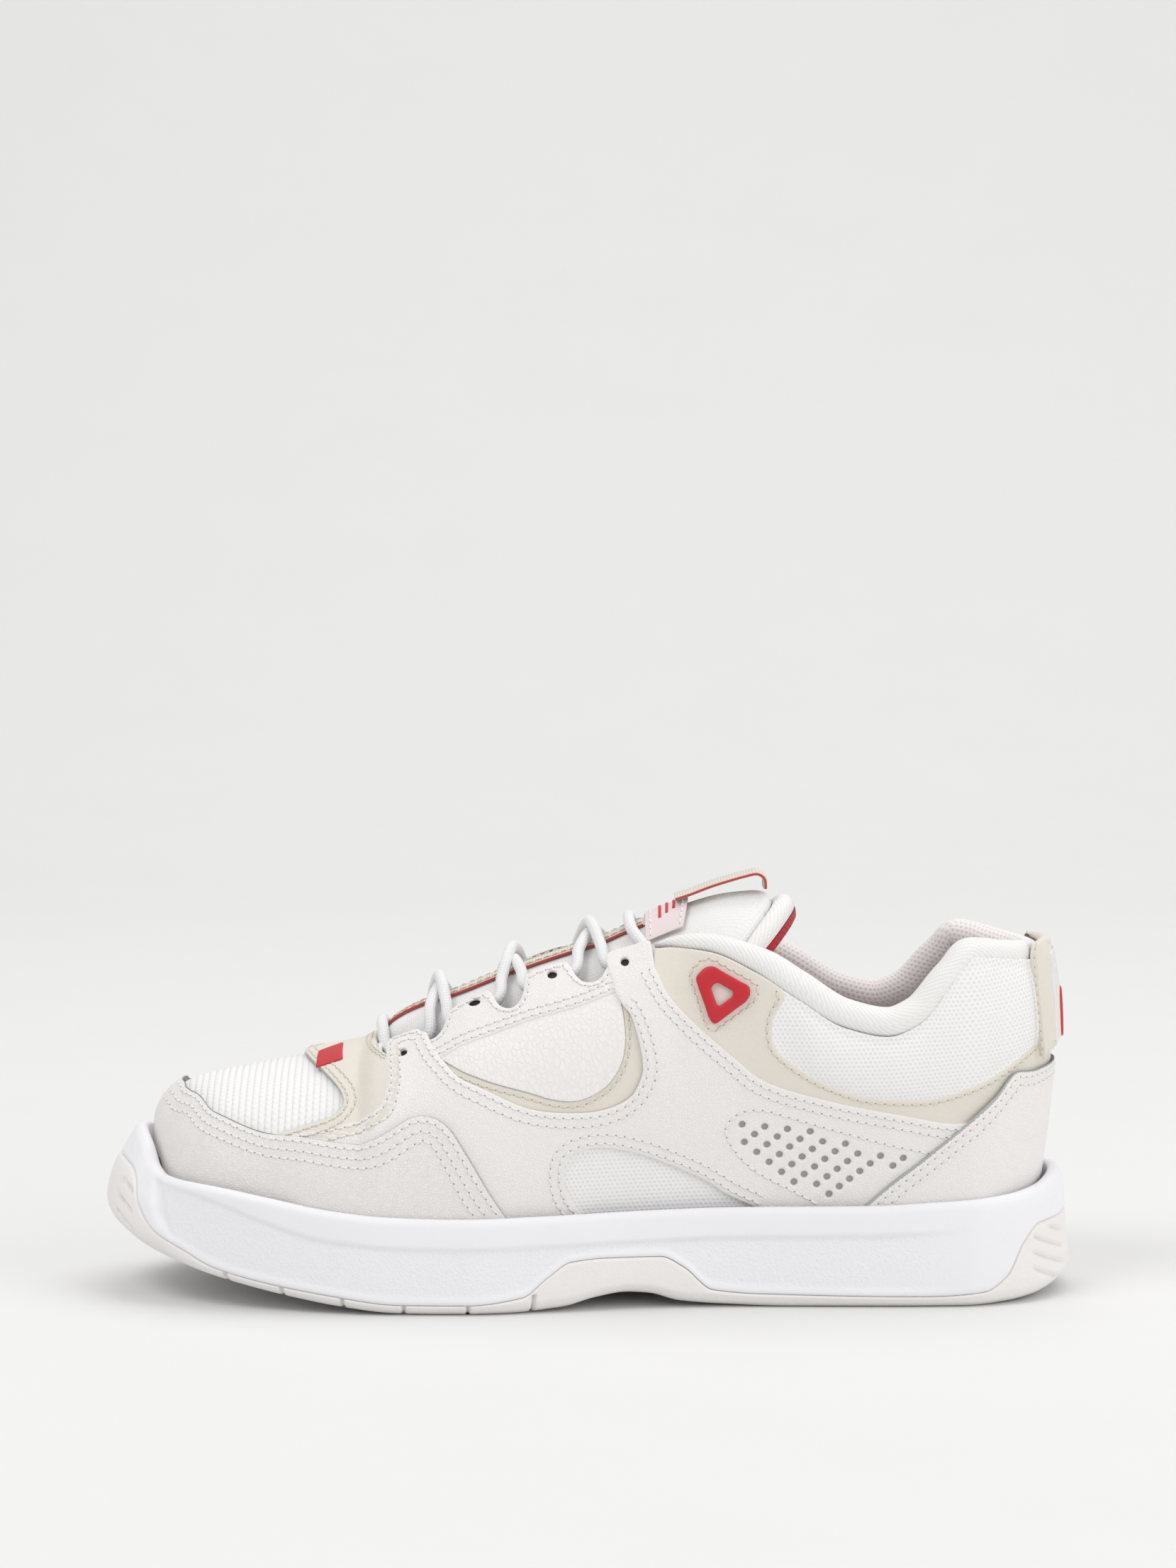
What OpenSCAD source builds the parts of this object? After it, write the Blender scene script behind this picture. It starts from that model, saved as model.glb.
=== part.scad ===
// Low-top laced court sneaker, left shoe, in millimetres: toe towards -X, lateral side -Y, ground at Z = 0.
// Every piece of the upper is a patch of one shared surface, at its own depth below or above it.

/* [Size] */
// overall length, toe bumper to heel bumper
shoe_length = 300; // [240:1:330]
// height of the tongue's pull loop above the ground
shoe_height = 129.6; // [110:0.1:150]

/* [Sole] */
// thickness of the tread and its bumpers
tread = 2.8; // [2:0.1:5]
// wall of the midsole's rim beside the upper
rim_wall = 3.6; // [2:0.1:6]
// depth of the midsole's cup below the rim
cup_depth = 14; // [6:0.5:20]

/* [Upper] */
// thickness of a leather overlay
leather = 1.3; // [0.8:0.1:2.5]
// thickness of a textile base panel
textile = 1.2; // [0.8:0.1:2.5]
// thickness of the lining with its foam
lining_wall = 1.6; // [1:0.1:3]
// diameter of the collar's padded roll
roll_d = 10; // [6:0.5:16]

/* [Tongue] */
// half width of the tongue at its base
tongue_base = 21; // [14:1:30]
// half width of the tongue at its top
tongue_top = 31; // [20:1:40]
// thickness of the padded tongue
tongue_pad = 6; // [3:0.5:12]

/* [Lace] */
// diameter of the lace
lace_d = 3.6; // [2:0.1:8]

/* [Hidden] */
gap = 0.2;

cream = [0.93, 0.91, 0.88];
white = [0.95, 0.95, 0.96];
beige = [0.87, 0.83, 0.76];
red = [0.78, 0.13, 0.16];
pinkish = [0.93, 0.88, 0.87];

// ---- interpolation ----
function mix(a, b, f) = a + (b - a) * f;
function clip(v, a, b) = min(max(v, a), b);
function smooth(a, b, v) = let(f = clip((v - a) / (b - a), 0, 1)) f * f * (3 - 2 * f);
function span(k, x, i = 0) = (i >= len(k) - 2 || x < k[i + 1][0]) ? i : span(k, x, i + 1);
function rise(k, i) = (k[i + 1][1] - k[i][1]) / (k[i + 1][0] - k[i][0]);
function lean(k, i) = i == 0 ? rise(k, 0) : i == len(k) - 1 ? rise(k, i - 1)
    : let(a = rise(k, i - 1), b = rise(k, i)) a * b <= 0 ? 0 : 2 * a * b / (a + b);
function curve(k, x0) = let(x = clip(x0, k[0][0], k[len(k) - 1][0]), i = span(k, x),
    h = k[i + 1][0] - k[i][0], s = (x - k[i][0]) / h, a = k[i][1], b = k[i + 1][1],
    m = lean(k, i) * h, n = lean(k, i + 1) * h)
    a + s * (m + s * (3 * (b - a) - 2 * m - n + s * (2 * (a - b) + m + n)));
function unit(v) = v / max(norm(v), 1e-9);

// ---- plan outline: station t runs 0 at the toe to 1 at the heel; side is -1 lateral, 1 medial ----
half = shoe_length / 2 - 3;
function plan_x(t) = -half * cos(180 * t);
function plan_t(x) = acos(clip(-x / half, -1, 1)) / 180;
lateral_w = [[-147, 0], [-143, 16.5], [-133, 30], [-114, 40.5], [-90, 48], [-60, 52.5], [-37, 52.5],
    [-10, 48], [15, 42.5], [45, 40], [90, 40.5], [115, 39.5], [130, 34], [141, 22], [147, 0]];
medial_w = [[-147, 0], [-143, 18.5], [-133, 33], [-114, 45], [-90, 51.3], [-76, 52.5], [-60, 52], [-37, 48],
    [-10, 41], [20, 36], [55, 35], [90, 37.5], [115, 37.5], [130, 33], [141, 21.7], [147, 0]];
function knots_t(w) = [for (k = w) [plan_t(k[0] * half / 147), k[1]]];
lateral_k = knots_t(lateral_w);
medial_k = knots_t(medial_w);
function plan_w(t, side) = curve(side < 0 ? lateral_k : medial_k, t);
function edge(t, side) = [plan_x(t), side * plan_w(t, side), 0];
function out(t, side) = let(e = 0.004, a = edge(clip(t - e, 0, 1), side), b = edge(clip(t + e, 0, 1), side),
    d = unit(b - a)) t <= 0.0001 ? [-1, 0, 0] : t >= 0.9999 ? [1, 0, 0] : [d[1] * -side, d[0] * side, 0];

// ---- heights along the shoe ----
floor_k = [[-150, 17.5], [-132, 13.8], [-114, 9.2], [-96, 5.5], [-77, 2.3], [-57, 0.25], [-45, 0], [-25, 0],
    [-7, 1.3], [3, 3.7], [12, 5], [19, 4.5], [28, 2], [40, 0.8], [61, 0], [115, 0], [137, 1.1], [150, 4.6]];
wrap_k = [[-150, 43], [-143, 40], [-137, 29], [-131, 21.5], [-123, 17], [-114, 12.6], [-96, 8.6], [-77, 5.7],
    [-57, 3.4], [-37, 3.2], [-20, 5.1], [-12, 11], [-5, 15.4], [5, 16.2], [22, 16.2], [29, 12.9], [38, 5.7],
    [52, 4.4], [104, 3.5], [121, 4.6], [128, 9], [133, 18.6], [138, 24], [150, 25]];
rim_k = [[-147, 50.5], [-143, 47], [-139, 41], [-134, 38.6], [-117, 37.4], [-98, 34.7], [-79, 31.5],
    [-60, 29.8], [-41, 29.2], [-2, 29.6], [45, 30.7], [86, 31.1], [104, 32], [125, 33.3], [140, 35.2], [147, 38]];
function ground_z(x) = curve(floor_k, x);
function rim_z(x) = curve(rim_k, x);
function wrap_z(x) = max(curve(wrap_k, x), ground_z(x) + tread + 0.3);

// ---- side wall of the sole: f runs 0 at the ground to 1 at the rim ----
side_off = [[0, -3.4], [0.06, -0.9], [0.14, 0.1], [0.5, -0.2], [0.9, -0.6], [1, -1.2]];
toe_off = [[0, -5.5], [0.1, -1.5], [0.22, 1.8], [0.34, 3], [0.6, 1.2], [0.85, -3.5], [1, -6.6]];
heel_off = [[0, -1.8], [0.07, 1.4], [0.16, 3], [0.5, 2], [0.85, 1.2], [1, -0.4]];
function wall_off(x, f) = let(s = curve(side_off, f), a = 1 - smooth(-147, -117, x), b = smooth(125, 147, x))
    mix(mix(s, curve(toe_off, f), a), curve(heel_off, f), b);
function wall_pt(t, side, z, inset = 0) = let(x = plan_x(t), g = ground_z(x),
    f = clip((z - g) / (rim_z(x) - g), 0, 1), p = edge(t, side) + out(t, side) * (wall_off(x, f) - inset))
    [p[0], side * max(side * p[1], 0.25), z];

// ---- surface of the upper: v runs 0 at the rim to 1 at the ridge, throat or collar ----
top_x_k = [[-147, -121], [-135, -113], [-118, -103], [-98, -92], [-78, -76], [-60, -60], [95, 95], [120, 117],
    [136, 130], [147, 140.8]];
top_y_k = knots_t([[-69, 0], [-64.5, 12], [-56, 18], [-34, 20.5], [-11, 21.5], [11, 23], [22, 25], [36, 30],
    [52, 34], [75, 37], [91, 37], [105, 34.5], [119, 29.5], [131, 23], [141, 14], [147, 0]]);
top_z_k = [[-139, 51.5], [-132.5, 59.2], [-127, 63.3], [-117, 66.8], [-102, 69.7], [-83, 73.4], [-70, 76],
    [-56, 80.5], [-34, 93], [-11, 102.5], [11, 107.8], [26, 112.5], [36, 113.2], [52, 109.3], [63, 103],
    [78, 94], [91, 91.3], [100, 94.5], [110, 105], [118, 111.6], [130, 110], [140.8, 108.3]];
tilt_k = [[-120, 0], [-72, 0], [-58, 22], [-30, 34], [11, 42], [30, 66], [52, 84], [90, 88], [117, 86],
    [141, 78]];
function top_x(t) = curve(top_x_k, plan_x(t));
function rim_pt(t, side, z, inset) = let(p = edge(t, side) + out(t, side) * (wall_off(plan_x(t), 1) - inset))
    [p[0], side * max(side * p[1], 0.25), z];
function foot_pt(t, side) = rim_pt(t, side, rim_z(plan_x(t)) - 1, rim_wall + 3);
function top_pt(t, side) = let(x = top_x(t))
    [x, side * (x < -68.5 ? 0 : curve(top_y_k, t)), curve(top_z_k, x)];
function top_dir(t, side) = let(x = top_x(t), a = curve(tilt_k, x), n = out(t, side),
    m = (curve(top_z_k, x + 2) - curve(top_z_k, x - 2)) / 4 * (1 - smooth(-76, -50, x)))
    unit([n[0], n[1], n[0] * m]) * cos(a) + [0, 0, -sin(a)];
function upper(t, side, v) = v < 0 ? foot_pt(t, side) + [0, 0, v * 40]
    : let(f = foot_pt(t, side), e = top_pt(t, side), d = norm(e - f),
    a = f + ([0, 0, 0.94] + out(t, side) * 0.12) * d * 0.37,
    b = e + top_dir(t, side) * d * 0.38, w = 1 - v)
    f * w * w * w + a * 3 * w * w * v + b * 3 * w * v * v + e * v * v * v;
function upper_n(t, side, v) = let(e = 0.01, t0 = clip(t, e, 1 - e), v0 = clip(v, e, 1 - e),
    a = upper(t0 + e, side, v0) - upper(t0 - e, side, v0),
    b = upper(t0, side, v0 + e) - upper(t0, side, v0 - e))
    unit(cross3(b, a)) * side;
function skin(t, side, v, off) = let(p = upper(t, side, v) + upper_n(t, side, v) * off)
    [p[0], side * max(side * p[1], 0.12), p[2]];
function v_at(t, side, z, a = 0, b = 1, i = 0) = let(m = (a + b) / 2)
    i > 12 ? m : upper(t, side, m)[2] < z ? v_at(t, side, z, m, b, i + 1) : v_at(t, side, z, a, m, i + 1);

// ---- closed shells from grids of points ----
function quad(a, b, c, d) = [[a, b, c], [a, c, d]];
function cat(l) = [for (a = l) for (b = a) b];
module loft(rings) {
    n = len(rings);
    m = len(rings[0]);
    h = floor(m / 2);
    walls = cat([for (i = [0:n - 2]) for (j = [0:m - 1]) let(k = (j + 1) % m)
        quad(i * m + j, i * m + k, (i + 1) * m + k, (i + 1) * m + j)]);
    near = cat([for (j = [0:h - 2]) quad(j, m - 1 - j, m - 2 - j, j + 1)]);
    far = cat([for (j = [0:h - 2]) quad(j, j + 1, m - 2 - j, m - 1 - j)]);
    polyhedron(cat(rings), concat(walls, near, [for (f = far) [for (i = f) i + (n - 1) * m]]));
}
module hoop(rings) {
    n = len(rings);
    m = len(rings[0]);
    polyhedron(cat(rings), cat([for (i = [0:n - 1]) for (j = [0:m - 1]) let(k = (j + 1) % m, o = (i + 1) % n)
        quad(i * m + j, i * m + k, o * m + k, o * m + j)]));
}
function ring_of(t, side, a, b, nv, off, wall) = concat(
    [for (j = [0:nv]) skin(t, side, mix(a, b, j / nv), off)],
    [for (j = [nv:-1:0]) skin(t, side, mix(a, b, j / nv), off - wall)]);
function flip(rings) = [for (r = rings) [for (i = [len(r) - 1:-1:0]) r[i]]];

// one side, from station x0 to x1, between two lines given as shares of the surface's height
module patch(side, x0, x1, lo, hi, off, wall, nx = 16, nv = 4) {
    rings = [for (i = [0:nx]) let(t = mix(plan_t(x0), plan_t(x1), i / nx), x = plan_x(t))
        ring_of(t, side, lo(t, side, x), hi(t, side, x), nv, off, wall)];
    loft(side < 0 ? rings : flip(rings));
}
// round the heel, or round the toe, from the lateral side to the medial side
module wrap(x0, end, lo, hi, off, wall, nx = 12, nv = 4) {
    t0 = plan_t(x0);
    lateral = [for (i = [0:nx]) let(t = mix(t0, end, i / nx), x = plan_x(t))
        ring_of(t, -1, lo(t, -1, x), hi(t, -1, x), nv, off, wall)];
    medial = [for (i = [nx:-1:0]) let(t = mix(t0, end, i / nx), x = plan_x(t))
        ring_of(t, 1, lo(t, 1, x), hi(t, 1, x), nv, off, wall)];
    loft(end > 0.5 ? concat(lateral, medial) : flip(concat(lateral, medial)));
}
// over the ridge of the vamp, both sides in each section
module saddle(x0, x1, lo, off, wall, nx = 16, nv = 5) {
    rings = [for (i = [0:nx]) let(t = mix(plan_t(x0), plan_t(x1), i / nx), x = plan_x(t), a = lo(t, -1, x),
        b = lo(t, 1, x))
        concat([for (j = [0:nv]) skin(t, -1, mix(a, 1, j / nv), off)],
            [for (j = [nv:-1:0]) skin(t, 1, mix(b, 1, j / nv), off)],
            [for (j = [0:nv]) skin(t, 1, mix(b, 1, j / nv), off - wall)],
            [for (j = [nv:-1:0]) skin(t, -1, mix(a, 1, j / nv), off - wall)])];
    loft(rings);
}
// a closed band on the surface between an outer and an inner outline of (x, z) points
module band_on(side, outer, inner, off, wall) {
    rings = [for (i = [0:len(outer) - 1]) let(p = outer[i], q = inner[i],
        tp = plan_t(p[0]), tq = plan_t(q[0]), vp = v_at(tp, side, p[1]), vq = v_at(tq, side, q[1]))
        [skin(tp, side, vp, off), skin(tq, side, vq, off), skin(tq, side, vq, off - wall),
            skin(tp, side, vp, off - wall)]];
    hoop(side < 0 ? flip(rings) : rings);
}
base = -0.25;
layer_1 = leather;
layer_2 = 2 * leather + 0.25;
stiff = base - textile - 0.25;
inner = stiff - 1.2 - 0.3;

// ---- lines of the panels, as heights at each station ----
seam_k = [[-62, 70], [-45.6, 73.8], [-31, 82.1], [-17, 87.2], [-5, 91], [8, 96], [22, 101]];
panel_low_k = [[-46, 76], [-31, 69.8], [-17, 66.1], [-8, 64.2], [-3, 63.8], [4.6, 67.2], [9.1, 72.6],
    [11.4, 84]];
curve_k = [[-66, 60], [-63.5, 68], [-61, 72], [-46, 73.2], [-43, 74.4], [-32, 67.7], [-23, 63.5], [-8, 60.4],
    [1, 60.5], [8, 62.1], [13.5, 65.6], [16.4, 75], [18, 99], [19.5, 103], [25, 94.4], [32, 86.8], [44, 76.8],
    [55, 68.5], [76, 62.6], [93, 59.3], [109, 55.5], [125, 55.5]];
window_k = [[-9, 27], [-8, 37], [-6.5, 44], [-5, 47.6], [-0.2, 49.1], [5, 49.3], [11, 48.3], [18, 46.2],
    [28, 42], [37, 37.9], [43, 33.9], [52, 29], [60, 28]];
ankle_k = [[55.5, 98], [56.5, 80], [62.6, 74.1], [70, 69.5], [81, 65], [90, 63.7], [105, 63.7], [121, 68.3],
    [132, 74.5], [141, 79]];
guard_k = [[-147, 63], [-140, 61.5], [-132, 59], [-125, 56.9], [-110, 52.7], [-93, 51.3], [-76, 50],
    [-66, 51], [-58, 55.1], [-53, 58.3], [-47, 58.8], [-42, 56], [-37, 49.5], [-31, 38.3], [-26, 30.5]];
heel_k = [[85, 31.5], [93, 38], [101, 44.4], [113, 54], [126, 63.4], [137, 71], [147, 71.5]];
roll_drop_k = [[20, 5], [40, 8], [60, 11], [104, 11], [118, 8], [130, 8], [147, 8]];
function roll_low(t, side) = let(x = top_x(t)) curve(top_z_k, x) - curve(roll_drop_k, x);
at = function (k) function (t, side, x) v_at(t, side, curve(k, x));
none = function (t, side, x) 0;
tuck = function (t, side, x) (cup_z(x) + 3.2 - rim_z(x)) / 40;
under_roll = function (t, side, x) v_at(t, side, roll_low(t, side) - 1.7);
lining_top = function (t, side, x) v_at(t, side, min(x < 18 ? curve(seam_k, x) - 1 : roll_low(t, side) - 5,
    side < 0 ? 200 : 64 + 60 * smooth(16, 22, abs(x - 10))));
notches = [-46.5, -23.6, 0.4];
eyestay_top = function (t, side, x) 1 - 0.13 * max([for (c = notches) 1 - smooth(2.6, 5.6, abs(x - c))]);
quarter_top = function (t, side, x)
    v_at(t, side, min(curve(curve_k, x), x < 21 ? curve(seam_k, x) - 0.6 : 200));
quarter_low = function (t, side, x) v_at(t, side, max(curve(window_k, x), rim_z(x) - 1));

// ---- sole ----
module outsole() color(cream) {
    levels = [1, 0.7, 0.4, 0.2, 0.08];
    rings = [for (i = [0:46]) let(t = i / 46, x = plan_x(t), g = ground_z(x), w = wrap_z(x))
        concat([for (r = levels) wall_pt(t, -1, mix(g, w, r))], [wall_pt(t, -1, g)],
            [wall_pt(t, 1, g)], [for (j = [4:-1:0]) wall_pt(t, 1, mix(g, w, levels[j]))],
            [for (r = [1, 0.4, 0]) wall_pt(t, 1, mix(g + tread, w, r), tread)],
            [for (r = [0, 0.4, 1]) wall_pt(t, -1, mix(g + tread, w, r), tread)])];
    loft(rings);
}
cup_k = [[-147, 37], [-120, 26.5], [-90, 18.5], [-50, 15], [0, 16.5], [60, 19], [147, 23]];
function cup_z(x) = curve(cup_k, x) + 14 - cup_depth;
module midsole() color(white) {
    levels = [[0.1, -0.1], [0.2, 0.9], [0.5, 1.1], [0.8, 0.9], [0.9, -0.1], [1, 0]];
    rings = [for (i = [0:46]) let(t = i / 46, x = plan_x(t), g = ground_z(x) + tread + gap,
        w = wrap_z(x) + gap, r = max(rim_z(x), w + 4))
        concat(cat([for (s = [-1, 1]) let(column = concat(
            [rim_pt(t, s, cup_z(x), rim_wall - 0.1), rim_pt(t, s, r, rim_wall - 0.1)],
            [for (j = [5:-1:0]) wall_pt(t, s, mix(w, r, levels[j][0]), levels[j][1])],
            [wall_pt(t, s, w), wall_pt(t, s, w, tread + gap), wall_pt(t, s, g, tread + gap)]))
            s < 0 ? column : [for (j = [len(column) - 1:-1:0]) column[j]]]))];
    loft(rings);
}
module board(z0, z1, inset) {
    loft([for (i = [0:30]) let(t = i / 30, c = cup_z(plan_x(t)))
        [rim_pt(t, -1, c + z1, inset), rim_pt(t, -1, c + z0, inset), rim_pt(t, 1, c + z0, inset),
            rim_pt(t, 1, c + z1, inset)]]);
}
module insole_board() color([0.8, 0.75, 0.66]) board(gap, 1.6, rim_wall + 0.6);
module sockliner() color(pinkish) board(1.8, 6, rim_wall + 8.6);

// ---- inside of the upper ----
module heel_counter() color(beige) wrap(92, 1, function (t, side, x) 0,
    function (t, side, x) v_at(t, side, mix(50, 82, smooth(92, 130, x))), stiff, 1.1);
module toe_puff() color(beige) wrap(-112, 0, function (t, side, x) 0,
    function (t, side, x) v_at(t, side, mix(45, 62, 1 - smooth(-140, -112, x))), stiff - 0.1, 1);
toe_end = -146.99;
module lining_vamp() color(pinkish)
    saddle(toe_end, -69, function (t, side, x) -0.15, inner, lining_wall, 18, 6);
module lining_side(side) patch(side, -68.6, 96, tuck, lining_top, inner, lining_wall, 20, 4);
module lining_lateral() color(pinkish) lining_side(-1);
module lining_medial() color(pinkish) lining_side(1);
module lining_heel() color(pinkish) wrap(97, 1, tuck, lining_top, inner, lining_wall, 12, 5);

// ---- panels ----
module toe_mesh() color(white)
    saddle(toe_end, -69, at([[-147, 46], [-110, 44], [-69, 44]]), base, textile, 20, 6);
module toe_overlay() color(cream) wrap(-26, 0, none, at(guard_k), layer_2, leather, 34, 4);
module vamp_saddle() color(beige)
    saddle(-88, -67.6, at([[-88, 66], [-80, 56], [-67, 58]]), layer_1, leather, 8, 6);
module vamp_mark() color(red) patch(-1, -83.5, -75.5, at([[-84, 67], [-75, 69]]),
    at([[-84, 71], [-75, 73.5]]), layer_1 + 0.85, 0.6, 6, 2);
module quarter(side) color(white) patch(side, -66, 125, quarter_low, quarter_top, layer_1, leather, 52, 4);
module quarter_lateral() quarter(-1);
module quarter_medial() quarter(1);
module side_panel(side) color(white) patch(side, -46, 11.4, at(panel_low_k),
    function (t, side, x) v_at(t, side, curve(seam_k, x) + 4), base, textile, 18, 4);
module side_panel_lateral() side_panel(-1);
module side_panel_medial() side_panel(1);
module underlay(side) color(beige) patch(side, -47, 16.5,
    function (t, side, x) v_at(t, side, min(curve(curve_k, x), 66) - 3),
    function (t, side, x) v_at(t, side, x < -46 ? 77 : x > 11.4 ? 88 : curve(panel_low_k, x) + 4),
    stiff - 0.2, 1, 18, 3);
module underlay_lateral() underlay(-1);
module underlay_medial() underlay(1);
module eyestay(side) color(white) patch(side, -62.5, 19, at(seam_k), eyestay_top, layer_1, leather, 54, 2);
module eyestay_lateral() eyestay(-1);
module eyestay_medial() eyestay(1);
module window_mesh(side) color(white) patch(side, -13, 56, none, function (t, side, x)
    v_at(t, side, max(curve(window_k, x), rim_z(x) + 1) + 3), base, textile, 18, 3);
module window_mesh_lateral() window_mesh(-1);
module window_mesh_medial() window_mesh(1);
module collar_panel(side) color(beige) patch(side, 19.5, 138, function (t, side, x)
    v_at(t, side, curve(curve_k, x) - 5), function (t, side, x)
    min(v_at(t, side, x < 55.6 ? 200 : curve(ankle_k, x)), under_roll(t, side, x)),
    base - 0.12, textile, 44, 4);
module collar_panel_lateral() collar_panel(-1);
module collar_panel_medial() collar_panel(1);
module ankle_mesh(side) color(white) patch(side, 58.6, 139, function (t, side, x)
    v_at(t, side, curve(ankle_k, x) + 0.5), under_roll, base, textile, 28, 4);
module ankle_mesh_lateral() ankle_mesh(-1);
module ankle_mesh_medial() ankle_mesh(1);
module heel_overlay() color(white) wrap(86, 1, none, at(heel_k), layer_2, leather, 20, 4);
module heel_tab() color(beige) wrap(141.3, 1, at([[141, 73], [147, 73.5]]),
    function (t, side, x) v_at(t, side, roll_low(t, side) + 3), layer_2, leather + 1, 8, 5);
module heel_badge() color(red) wrap(146.2, 1, at([[141, 78], [147, 78]]), at([[141, 93.5], [147, 93.5]]),
    layer_2 + 0.8, 0.7, 5, 3);

roll_r_k = [[20, 2.4], [36, 3.2], [60, 5], [110, 5], [147, 4.4]];
function roll_r(t) = curve(roll_r_k, top_x(t)) * roll_d / 10;
function roll_c(t, side) = top_pt(t, side) - out(t, side) * roll_r(t) - [0, 0, roll_r(t)];
function roll_ring(t, side) = let(e = 0.006, d = unit(roll_c(min(t + e, 1), side) - roll_c(t - e, side)),
    n = unit(out(t, side) - d * (out(t, side) * d)), u = cross3(d, n) * (cross3(d, n)[2] < 0 ? -1 : 1),
    c = roll_c(t, side))
    [for (a = [0:36:324]) let(p = c + (n * cos(a) + u * sin(a)) * roll_r(t))
        [p[0], side * max(side * p[1], 0.12), p[2]]];
module collar_roll() color(white) {
    t0 = plan_t(22);
    rings = concat([for (i = [0:30]) roll_ring(mix(t0, 1, i / 30), -1)],
        [for (i = [30:-1:0]) roll_ring(mix(t0, 1, i / 30), 1)]);
    loft(rings);
}

// ---- moulded lace keeper: a rounded triangle with an open middle ----
keeper_centre = [40.5, 95.6];
function tri_r(a) = 1 / max([for (k = [63, 200, 305]) cos(a - k) * 1.25]);
function tri_pts(size) = [for (a = [0:15:345]) let(r = size * min(tri_r(a), 1.18))
    keeper_centre + [r * cos(a) * 0.94, r * sin(a)]];
module lace_keeper(side) color(red) band_on(side, tri_pts(8.2), tri_pts(3.4), 1.7, 1.6);
module lace_keeper_lateral() lace_keeper(-1);
module lace_keeper_medial() lace_keeper(1);

// ---- tongue ----
ridge_k = [[-66, 76], [-60, 82.6], [-51, 87.6], [-41, 91.2], [-29, 96.3], [-20, 99.6], [-6, 104.4],
    [2, 106.8], [13, 111.6], [29, 118.2], [43, 122], [52, 122.8], [58, 121.4]];
arch_k = [[-66, 0.045], [-40, 0.032], [0, 0.025], [30, 0.027], [58, 0.03]];
end_round = 0.026;
tongue_w_k = [[-66, 5], [-62, 7], [-50, tongue_base - 8.2], [-42, tongue_base - 4.5],
    [-30, tongue_base - 1.5], [0, tongue_base + 0.5], [58, 0.76 * tongue_top]];
function tongue_pt(x, y, off) = [x - end_round * y * y * smooth(18, 57, x), y,
    curve(ridge_k, x) - curve(arch_k, x) * y * y + off];
module tongue_layer(x0, x1, w0, w1, off, wall, nx = 22, ny = 6) {
    loft(flip([for (i = [0:nx]) let(x = mix(x0, x1, i / nx), w = curve(tongue_w_k, x))
        concat([for (j = [0:ny]) tongue_pt(x, mix(w0 * w, w1 * w, j / ny), off)],
            [for (j = [ny:-1:0]) tongue_pt(x, mix(w0 * w, w1 * w, j / ny), off - wall)])]));
}
module tongue() color(white) tongue_layer(-65, 57, -1, 1, 0, tongue_pad, 26, 8);
module tongue_lining() color(red) tongue_layer(-60, 57, -0.96, 0.96, -tongue_pad - gap - 0.1, 0.9, 20, 6);
module tongue_binding() color(white) {
    w = curve(tongue_w_k, 57);
    loft(flip([for (i = [0:12]) let(p = tongue_pt(57, mix(-w, w, i / 12), -3.4))
        [for (a = [0:45:315]) p + [3.6 + 3.4 * cos(a), 0, 3.9 * sin(a)]]]));
}
module tongue_webbing() color(beige) tongue_layer(-64, 30, -0.3, 0.3, 1.4, 1.05, 20, 4);
module tongue_label() color(pinkish) tongue_layer(18.4, 31, -0.72, 0.72, 2.65, 0.8, 4, 6);
module pull_loop() color(beige) {
    rise = shoe_height - 125.6;
    centre = [[27, 121.3], [32, 123], [38, 123.9 + rise * 0.35], [44, 124.6 + rise * 0.65],
        [49, 125 + rise * 0.9], [52.4, 125.2 + rise], [54.6, 123.6 + rise], [54.9, 124.6]];
    loft(flip([for (i = [0:len(centre) - 1]) let(p = centre[i], q = centre[min(i + 1, len(centre) - 1)],
        o = centre[max(i - 1, 0)], d = unit(q - o), n = [-d[1], d[0]] * 0.7)
        [[p[0] + n[0], -7, p[1] + n[1]], [p[0] + n[0], 7, p[1] + n[1]], [p[0] - n[0], 7, p[1] - n[1]],
            [p[0] - n[0], -7, p[1] - n[1]]]]));
}

// ---- lace: one cord, threaded under each tab and over the tongue ----
tabs = [[-62.5, -50.5], [-42, -28.6], [-18.6, -5.2], [6, 16.4]];
lace_r = lace_d / 2;
function under_tab(i, e, side) = let(x = tabs[i][e], t = plan_t(x)) skin(t, side, 0.985, -1.5 - lace_r)
    + [0, 0, -0.6];
function over(x, y, lift) = tongue_pt(x, y, 1.8 + lace_r + lift);
function gap_x(i, share) = mix(tabs[i][1], tabs[i + 1][0], share);
function cross(i, side, lift) = [under_tab(i, 1, side), over(gap_x(i, 0.2), side * 12, 0.8),
    over(gap_x(i, 0.36), side * 6, 0.4 + lift * 0.6), over(gap_x(i, 0.5), 0, lift),
    over(gap_x(i, 0.64), -side * 6, 0.4 + lift * 0.6), over(gap_x(i, 0.8), -side * 12, 0.8),
    under_tab(i + 1, 0, -side)];
function back(l) = [for (i = [len(l) - 1:-1:0]) l[i]];
function down_wall(x, v, off) = skin(plan_t(x), 1, v, -off);
function on_bed(x, y, lift = 0.5) = [x, y, cup_z(x) + 6.3 + lace_r + lift];
tail_a = [down_wall(4.5, 0.9, 4.2), down_wall(3, 0.76, 4.3), down_wall(2, 0.6, 5.2), down_wall(0, 0.4, 7.6),
    down_wall(-4, 0.2, 7.8), on_bed(-13, 26.5, 1.5), on_bed(-28, 30), on_bed(-44, 32), on_bed(-60, 32, 1.3)];
tail_b = [down_wall(18, 0.9, 4.2), down_wall(19, 0.76, 4.3), down_wall(20, 0.6, 5.2), down_wall(22, 0.4, 7.6),
    down_wall(26, 0.2, 7.8), on_bed(35, 20.2, 1.6), on_bed(50, 19.2), on_bed(66, 19.4),
    on_bed(82, 20.4, 0.8)];
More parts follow.
